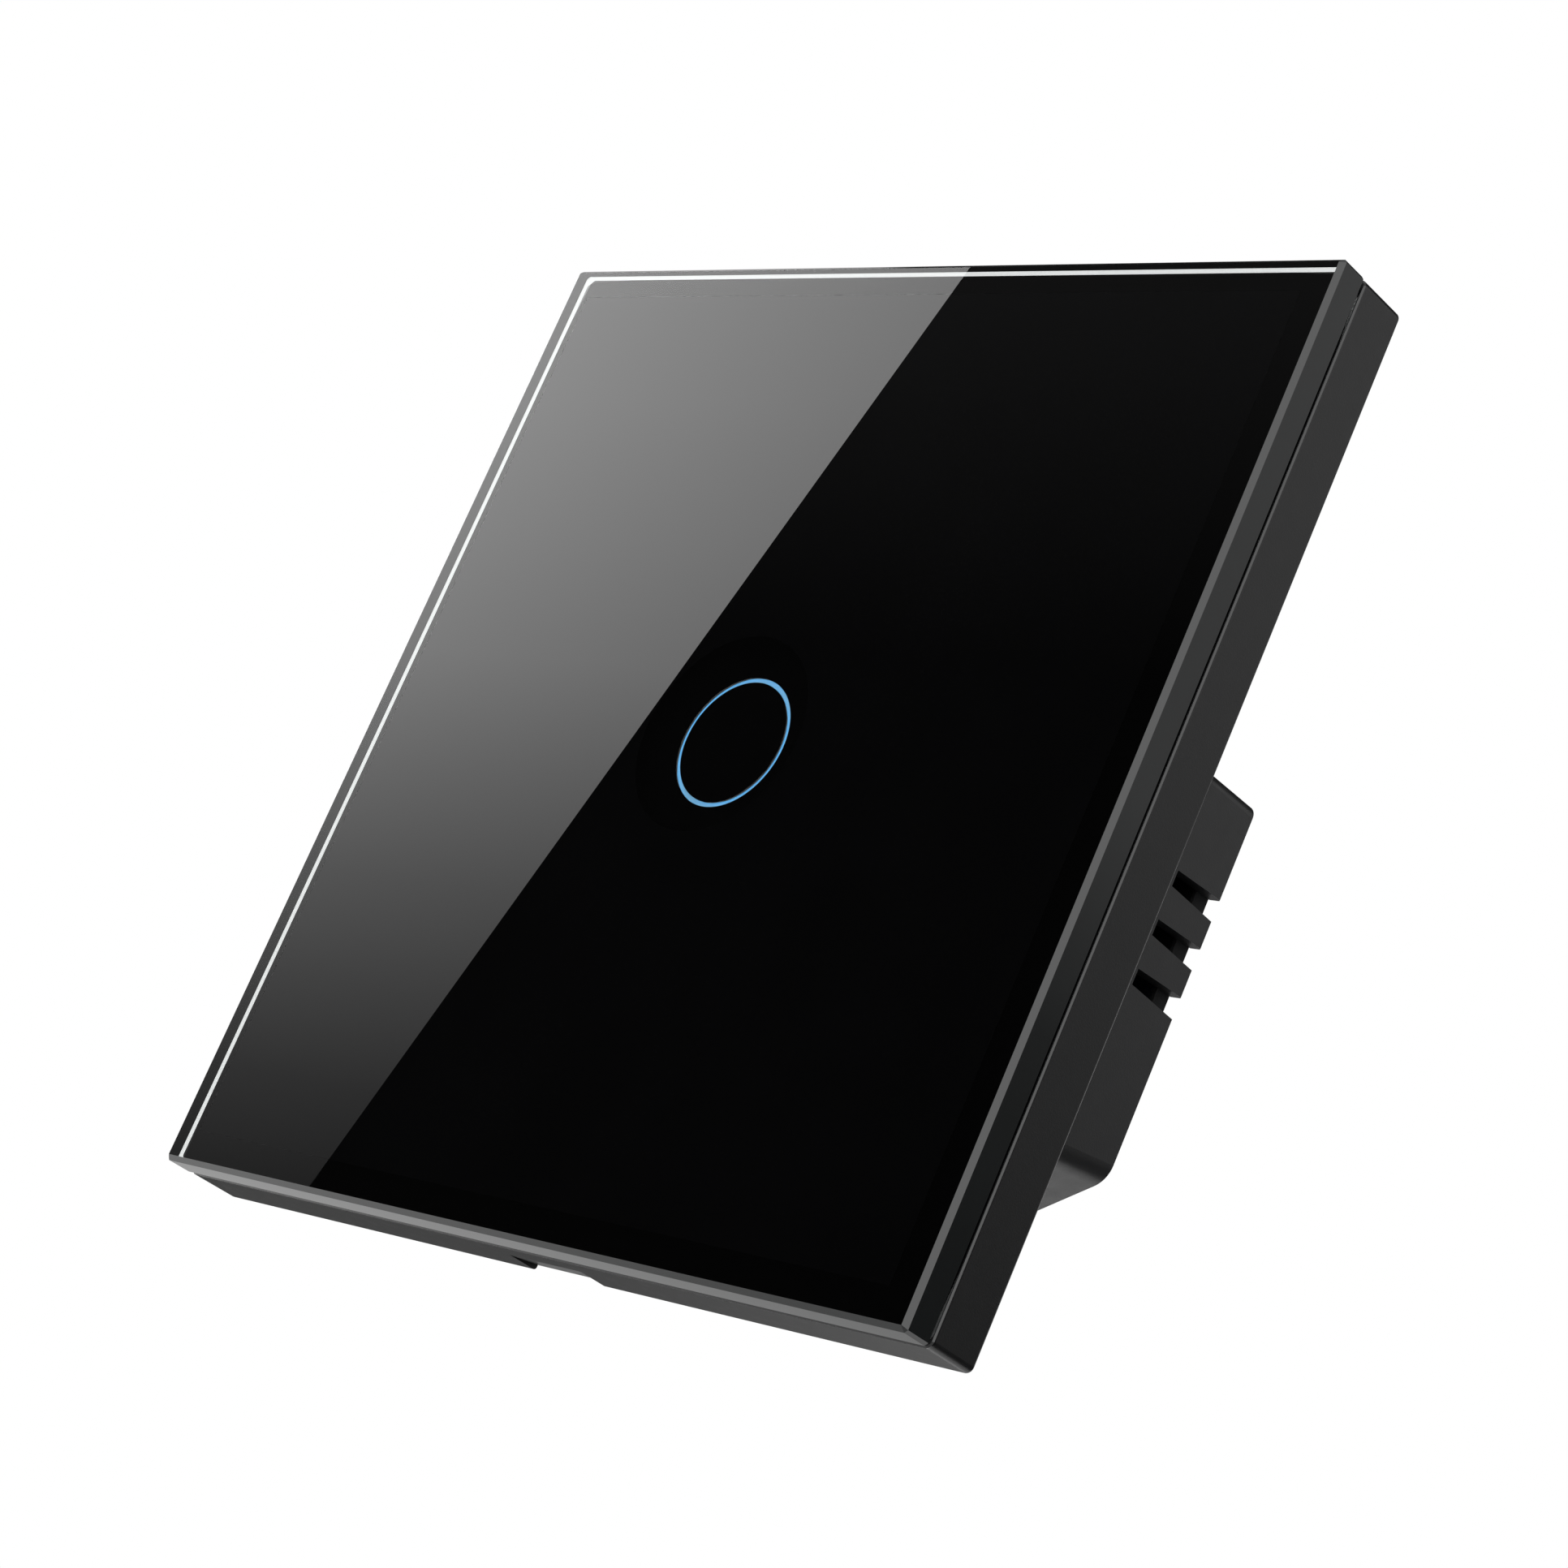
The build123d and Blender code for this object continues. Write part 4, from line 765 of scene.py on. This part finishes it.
class SWITCH_OT_boards(bpy.types.Operator):
    """Finishes the two circuit boards and the parts that stand on them"""
    bl_idname = "switch.boards"
    bl_label = "Boards and parts"

    def execute(self, context):
        board = context.scene.switch_board
        dress(board_finish("power_mask", board), "power_board")
        dress(board_finish("touch_mask", board), "touch_board")
        chip = Finish("chip_epoxy", (0.012, 0.012, 0.013), 0.55)
        chip.vary(0.001, 0.2, (0.5, 0.65))
        epoxy = chip.grained(0.00015, 0.000008).material
        dress(epoxy, "header_strip", "header_socket")
        tree = legs_tree()
        tin = plated("leg_tin", board.solder, 0.25)
        for name in ("bridge_rectifier", "power_chip", "touch_chip"):
            add_chip(name, tree, epoxy, tin, board)
        add_all_joints(board)
        ceramic = Finish("chip_ceramic", (0.42, 0.30, 0.19), 0.5)
        ceramic.vary(0.0004, 0.15, (0.4, 0.6))
        low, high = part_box("chip_capacitors")
        offset = ceramic.math("ABSOLUTE", ceramic.math("SUBTRACT", ceramic.axis("Z"), (low.z + high.z)/2))
        end = ceramic.math("GREATER_THAN", offset, (high.z - low.z)/2 - board.capacitor_end)
        ceramic.set("Base Color", ceramic.blended(end, ceramic.colour, board.solder))
        ceramic.set("Metallic", end)
        dress(ceramic.material, "chip_capacitors")
        dress(plated("pin_tin", board.solder), "header_pins")
        ferrite = Finish("ferrite", (0.035, 0.035, 0.038), 0.7)
        ferrite.vary(0.0008, 0.3, (0.6, 0.8))
        dress(ferrite.grained(0.0003, 0.00003).material, "transformer_core")
        dress(glossy_moulded("can_sleeve", (0.012, 0.02, 0.06), 0.3), "bulk_capacitor")
        dress(glossy_moulded("film_box", (0.75, 0.45, 0.04), 0.35), "film_capacitor")
        dress(glossy_moulded("disc_epoxy", (0.03, 0.12, 0.42), 0.35, 0.15), "varistor")
        dress(glossy_moulded("fuse_shell", (0.12, 0.045, 0.025), 0.3), "fuse")
        dress(glossy_moulded("winding_tape", (0.8, 0.55, 0.05), 0.3, 0.12), "transformer_winding")
        dress(glossy_moulded("former_plastic", (0.5, 0.46, 0.36), 0.45), "transformer_bobbin")
        return {"FINISHED"}


def add_chip(name, tree, epoxy, tin, board):
    """A chip body with bevelled edges and its two rows of bent legs."""
    low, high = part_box(name)
    middle = (low + high)/2
    half_leg = board.leg_thickness/2
    back = high.y - half_leg
    half_depth = high.z - middle.z - board.leg_reach

    def body(shape):
        made = bmesh.ops.create_cube(shape, size=1)["verts"]
        bmesh.ops.scale(shape, vec=(high.x - low.x, back - low.y, 2*half_depth), verts=made)
        bmesh.ops.translate(shape, vec=(middle.x, (low.y + back)/2, middle.z), verts=made)
        bmesh.ops.bevel(shape, geom=shape.edges[:], offset=board.chip_bevel, segments=1, affect="EDGES")

    mesh_piece(name + "_body", body, epoxy, "base", name)
    shoulder = (low.y - high.y)/2
    root, upper_bend, lower_bend = 0.0002, 0.3*board.leg_reach, 0.55*board.leg_reach
    points = [(0, y, half_depth + z) for y, z in (
        (shoulder, -root), (shoulder, upper_bend), (-half_leg, lower_bend), (-half_leg, board.leg_reach))]
    path = plain_mesh(name + "_leg", points, [(0, 1), (1, 2), (2, 3)])
    grown(name + "_legs", tree, {
        "Place": (middle.x, high.y, middle.z), "Count": board.legs, "Pitch": board.leg_pitch,
        "Width": board.leg_width, "Thickness": board.leg_thickness}, tin, "base", name, path)


def add_all_joints(board):
    """Solder joints on the fronts of both boards."""
    solder = Finish("solder", board.solder, 0.22, Metallic=1.0)
    solder.vary(0.0006, 0.12, (0.15, 0.35))
    tree = joints_tree()
    low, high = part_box("header_pins")
    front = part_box("touch_board")[0].y
    pins = [(low.x + board.pin/2 + n*board.header_pitch, front, (low.z + high.z)/2)
            for n in range(board.header_pins)]
    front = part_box("power_board")[0].y
    low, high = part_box("relay_pins")
    inset = board.relay_pin/2
    tails = [(x, front, z) for x in (low.x + inset, high.x - inset)
             for z in (low.z + inset/2, high.z - inset/2)]
    strip_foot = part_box("contact_strips")[0].z + board.tail/2
    tails += [(sum(corner.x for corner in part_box(f"terminal_screw_{n}"))/2, front, strip_foot) for n in POLES]
    for name, places, sizes in (("touch_board_joints", pins, board.header_joint),
                                ("power_board_joints", tails, board.power_joint)):
        foot, tip, height = sizes
        grown(name, tree, {"Foot radius": foot, "Tip radius": tip, "Height": height},
              solder.material, "base", None, plain_mesh(name + "_places", places))


def board_finish(name, board):
    """Green solder mask over copper tracks that run along the board in two directions."""
    finish = Finish(name, board.mask, 0.3)
    tree, where = finish.tree, finish.coordinates
    cell = output(tree, "ShaderNodeVectorMath", {0: where, 1: (board.track,)*3}, operation="SNAP")
    pick = node(tree, "ShaderNodeTexWhiteNoise", {"Vector": cell}, noise_dimensions="3D").outputs["Value"]
    inside = output(tree, "ShaderNodeVectorMath", {0: where, 1: (1/board.track,)*3}, operation="MULTIPLY")
    inside = output(tree, "ShaderNodeVectorMath", {0: inside}, operation="FRACTION")
    parts = node(tree, "ShaderNodeSeparateXYZ", {0: inside}).outputs
    half_width = 0.14
    lines = [finish.math("COMPARE", parts[axis], 0.5, half_width) for axis in ("X", "Z")]
    along = finish.math("GREATER_THAN", pick, 0.5)
    first = finish.math("MULTIPLY", lines[0], along)
    second = finish.math("MULTIPLY", lines[1], finish.math("SUBTRACT", 1.0, along))
    track = finish.math("MAXIMUM", first, second)
    finish.set("Base Color", finish.blended(track, board.mask, scaled_colour(board.mask, 2.2)))
    finish.set("Roughness", finish.mapped(finish.noise(0.002), 0.22, 0.36))
    return finish.raise_by(track, 0.00003, 0.5).material


class SWITCH_OT_metal(bpy.types.Operator):
    """Finishes the screws, clamps and strips of the terminals"""
    bl_idname = "switch.metal"
    bl_label = "Screws and terminals"

    def execute(self, context):
        metal = context.scene.switch_metal
        tree = screw_tree()
        add_screws("cover_screw_pair", "cover_screws", "base", "cover_screw_steel", tree, metal, 2,
                   (metal.cover_thread, metal.cover_head, metal.cover_head_height), CROSS)
        dress(plated("strip_brass", metal.brass, 0.25, (0.2, 1, 1)), "contact_strips")
        for n in POLES:
            dress(plated(f"clamp_{n}_steel", metal.steel, 0.35, (1, 1, 0.2)), f"terminal_clamp_{n}")
            solid = f"terminal_screw_{n}"
            low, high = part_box(solid)
            add_screws(f"threaded_screw_{n}", solid, f"screw_{n}", f"screw_{n}_steel", tree, metal, 1,
                       (metal.clamp_thread, high.x - low.x, metal.clamp_head_height), SLOT)
        return {"FINISHED"}


def add_screws(name, solid, body, steel, tree, metal, count, sizes, slot):
    """The screws that stand for a solid, in a row along X. The outer heads touch the ends of its box."""
    low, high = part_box(solid)
    thread, head, head_height = sizes
    slot_width, slot_depth, slot_share = slot
    first, last = low.x + head/2, high.x - head/2
    grown(name, tree, {
        "Place": (first, low.y, (low.z + high.z)/2), "Step": (last - first, 0, 0), "Count": count,
        "Shank radius": thread/2, "Shank length": high.y - low.y - head_height, "Head radius": head/2,
        "Head height": head_height, "Pitch": metal.thread_pitch, "Ridge": metal.thread_depth,
        "Slot width": slot_width, "Slot depth": slot_depth, "Slot length": slot_share*head,
        "Cross": slot == CROSS}, plated(steel, metal.steel, 0.3, (1, 0.2, 1)), body, solid)


class SWITCH_OT_relay(bpy.types.Operator):
    """Finishes the relay, from its blue case to the contacts inside"""
    bl_idname = "switch.relay"
    bl_label = "Relay"

    def execute(self, context):
        metal = context.scene.switch_metal
        dress(glossy_moulded("relay_case_blue", (0.01, 0.07, 0.36), 0.3), "relay_case")
        dress(glossy_moulded("relay_base_plastic", (0.42, 0.40, 0.34), 0.45), "relay_base", "relay_bobbin")
        dress(plated("relay_iron", (0.5, 0.5, 0.51), 0.35, (1, 0.2, 1)), "relay_yoke", "relay_armature")
        dress(plated("blade_bronze", (0.75, 0.5, 0.25), 0.25, (0.2, 1, 1)), "relay_blade", "relay_contact")
        dress(plated("relay_pin_tin", (0.66, 0.67, 0.69), 0.3), "relay_pins")
        wire = Finish("enamelled_copper", metal.copper, 0.25, Metallic=1.0)
        wire.vary(0.0008, 0.15, (0.2, 0.35))
        low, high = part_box("relay_coil")
        middle = (low + high)/2
        grown("coil_wire", coil_tree(), {
            "Place": (middle.x, low.y, middle.z), "Count": 1, "Radius": high.x - middle.x,
            "Wire": metal.coil_wire, "Height": high.y - low.y, "Bore": metal.coil_bore},
            wire.material, "base", "relay_coil")
        return {"FINISHED"}


# Stage

class SWITCH_OT_stage(bpy.types.Operator):
    """Sets the floor, the white surroundings, the lamps, the mirrored cards and the camera"""
    bl_idname = "switch.stage"
    bl_label = "Stage"

    def execute(self, context):
        stage = context.scene.switch_stage
        add_camera(stage)
        add_surroundings()
        add_floor(stage)
        add_wall_cards(stage)
        add_side_cards(stage)
        for name, stops, span, sides, height in FLAT_CARDS:
            corners = flat_corners(*sides, stage.floor_height + height)
            glowing_card(name, corners, stops, "X", *span)
        for lamp in LAMPS:
            add_lamp(*lamp)
        context.scene.view_settings.view_transform = "Standard"
        return {"FINISHED"}


def add_camera(stage):
    camera = linked("camera", bpy.data.cameras.new("camera"))
    back = -Vector(stage.camera_forward).normalized()
    side = Vector(stage.camera_up).cross(back).normalized()
    turn = Matrix((side, back.cross(side), back)).transposed()
    camera.matrix_world = Matrix.Translation(stage.camera_place) @ turn.to_4x4()
    camera.data.lens = stage.lens
    camera.data.sensor_width = 36
    camera.data.clip_start = 0.01
    bpy.context.scene.camera = camera


def seen_as_white(tree):
    """One for rays that show the background: from the camera, mirrored or through glass."""
    path = node(tree, "ShaderNodeLightPath").outputs
    most = maths(tree, "MAXIMUM", path["Is Camera Ray"], path["Is Glossy Ray"])
    return maths(tree, "MAXIMUM", most, path["Is Transmission Ray"])


def add_surroundings():
    world = bpy.data.worlds.new("surroundings")
    bpy.context.scene.world = world
    world.use_nodes = True
    tree = world.node_tree
    soft = tree.nodes["Background"]
    soft.inputs["Color"].default_value = (0.96, 0.97, 1.0, 1)
    soft.inputs["Strength"].default_value = 0.5
    white = output(tree, "ShaderNodeBackground", {"Color": (1, 1, 1, 1), "Strength": 1.0})
    mix = output(tree, "ShaderNodeMixShader", {0: seen_as_white(tree), 1: soft.outputs[0], 2: white})
    tree.links.new(mix, tree.nodes["World Output"].inputs["Surface"])


def add_floor(stage):
    finish = Finish("pale_floor", (0.86, 0.86, 0.86), 0.9)
    finish.vary(0.2, 0.02)
    tree = finish.tree
    mix = output(tree, "ShaderNodeMixShader", {
        0: scaled(tree, seen_as_white(tree), FLOOR_WHITE), 1: finish.shader.outputs[0],
        2: output(tree, "ShaderNodeEmission")})
    tree.links.new(mix, tree.nodes["Material Output"].inputs["Surface"])
    stage_card("floor", flat_corners(-FLOOR_REACH, FLOOR_REACH, -FLOOR_REACH, FLOOR_REACH, stage.floor_height),
               finish.material, RAYS)


def glowing_card(name, corners, stops, axis, low, high, across=None):
    """A card whose light changes along one axis between two places, and can fade across it."""
    finish = Finish(name, (0, 0, 0), 1.0, Specular_IOR_Level=0.0)
    along = finish.mapped(finish.axis(axis), 0.0, 1.0, low, high)
    ramp = node(finish.tree, "ShaderNodeFloatCurve", {"Value": along})
    curve = ramp.mapping.curves[0]
    top = max(value for _, value in stops)
    curve.points[0].location = (stops[0][0], stops[0][1]/top)
    curve.points[1].location = (stops[-1][0], stops[-1][1]/top)
    for place_along, value in stops[1:-1]:
        curve.points.new(place_along, value/top)
    for point in curve.points:
        point.handle_type = "VECTOR"
    ramp.mapping.update()
    power = finish.math("MULTIPLY", ramp.outputs[0], top)
    if across:
        start, end, first, last = across
        power = finish.math("MULTIPLY", power, finish.mapped(finish.axis("X"), first, last, start, end))
    light = output(finish.tree, "ShaderNodeEmission", {"Strength": power})
    finish.tree.links.new(light, finish.tree.nodes["Material Output"].inputs["Surface"])
    stage_card(name, corners, finish.material)


def flat_corners(left, right, front, back, height):
    return (left, front, height), (right, front, height), (right, back, height), (left, back, height)


def upright_corners(first, second, low, high):
    """A card that stands over the line from the first place to the second."""
    return (*first, low), (*second, low), (*second, high), (*first, high)


def add_wall_cards(stage):
    """A pale and a dark card in front of the panel. Their common edge is what the glass mirrors."""
    eye = Vector(stage.camera_place)
    mirrored = eye.copy()
    mirrored.y = 2*stage.edge_top[1] - eye.y
    far = -stage.card_distance

    def seen_at(x, y, z):
        point = Vector((x, y, z))
        return mirrored + (point - mirrored)*((far - mirrored.y)/(y - mirrored.y))

    top, bottom = seen_at(*stage.edge_top), seen_at(*stage.edge_bottom)
    beyond = (top - bottom).normalized()*WALL_BEYOND
    top, bottom = top + beyond, bottom - beyond
    left, right = Vector((-PALE_WIDTH, 0, 0)), Vector((DARK_WIDTH, 0, 0))
    stops = [(place_along, value*stage.card_glow) for place_along, value in PALE_STOPS]
    glowing_card("pale_card", (bottom + left, bottom, top, top + left), stops, "Z", *WALL_SPAN, PALE_FADE)
    glowing_card("dark_card", (bottom, bottom + right, top + right, top), DARK_STOPS, "Z", *WALL_SPAN)


def add_side_cards(stage):
    """What the glass's right side and its right chamfer mirror."""
    x = stage.side_distance
    glowing_card("side_card", upright_corners((x, -0.05), (x, 1.2), -0.12, 0.7), SIDE_STOPS, "Z", -0.06, 0.3)
    glowing_card("strip_card", upright_corners((0.29, -0.47), (0.45, -0.30), -0.06, 0.42),
                 ((0.0, stage.strip_glow), (1.0, stage.strip_glow*0.9)), "Z", -0.05, 0.4)


def add_lamp(name, where, side, power):
    """A square soft lamp that faces the part."""
    lamp = bpy.data.lights.new(name, "AREA")
    lamp.size = side
    lamp.energy = power
    holder = linked(name, lamp)
    holder.location = where
    holder.rotation_euler = (-Vector(where)).to_track_quat("-Z", "Y").to_euler()


class SWITCH_PT_sidebar(bpy.types.Panel):
    """Lists the switch's operators"""
    bl_idname = "SWITCH_PT_sidebar"
    bl_label = "Touch light switch"
    bl_space_type = "VIEW_3D"
    bl_region_type = "UI"
    bl_category = "Light switch"

    def draw(self, context):
        for operator in OPERATORS:
            self.layout.operator(operator.bl_idname)


OPERATORS = (SWITCH_OT_panel, SWITCH_OT_light, SWITCH_OT_plastics, SWITCH_OT_boards, SWITCH_OT_metal,
             SWITCH_OT_relay, SWITCH_OT_stage)
SETTINGS = {
    "switch_panel": PanelSettings, "switch_light": LightSettings, "switch_plastic": PlasticSettings,
    "switch_metal": MetalSettings, "switch_board": BoardSettings, "switch_stage": StageSettings,
}
CLASSES = *SETTINGS.values(), *OPERATORS, SWITCH_PT_sidebar


def register():
    for group in CLASSES:
        bpy.utils.register_class(group)
    for name, group in SETTINGS.items():
        setattr(bpy.types.Scene, name, PointerProperty(type=group))


def unregister():
    for name in SETTINGS:
        delattr(bpy.types.Scene, name)
    for group in reversed(CLASSES):
        bpy.utils.unregister_class(group)


def main():
    register()
    bpy.ops.switch.panel()
    bpy.ops.switch.light()
    bpy.ops.switch.plastics()
    bpy.ops.switch.boards()
    bpy.ops.switch.metal()
    bpy.ops.switch.relay()
    bpy.ops.switch.stage()


if __name__ == "__main__":
    main()
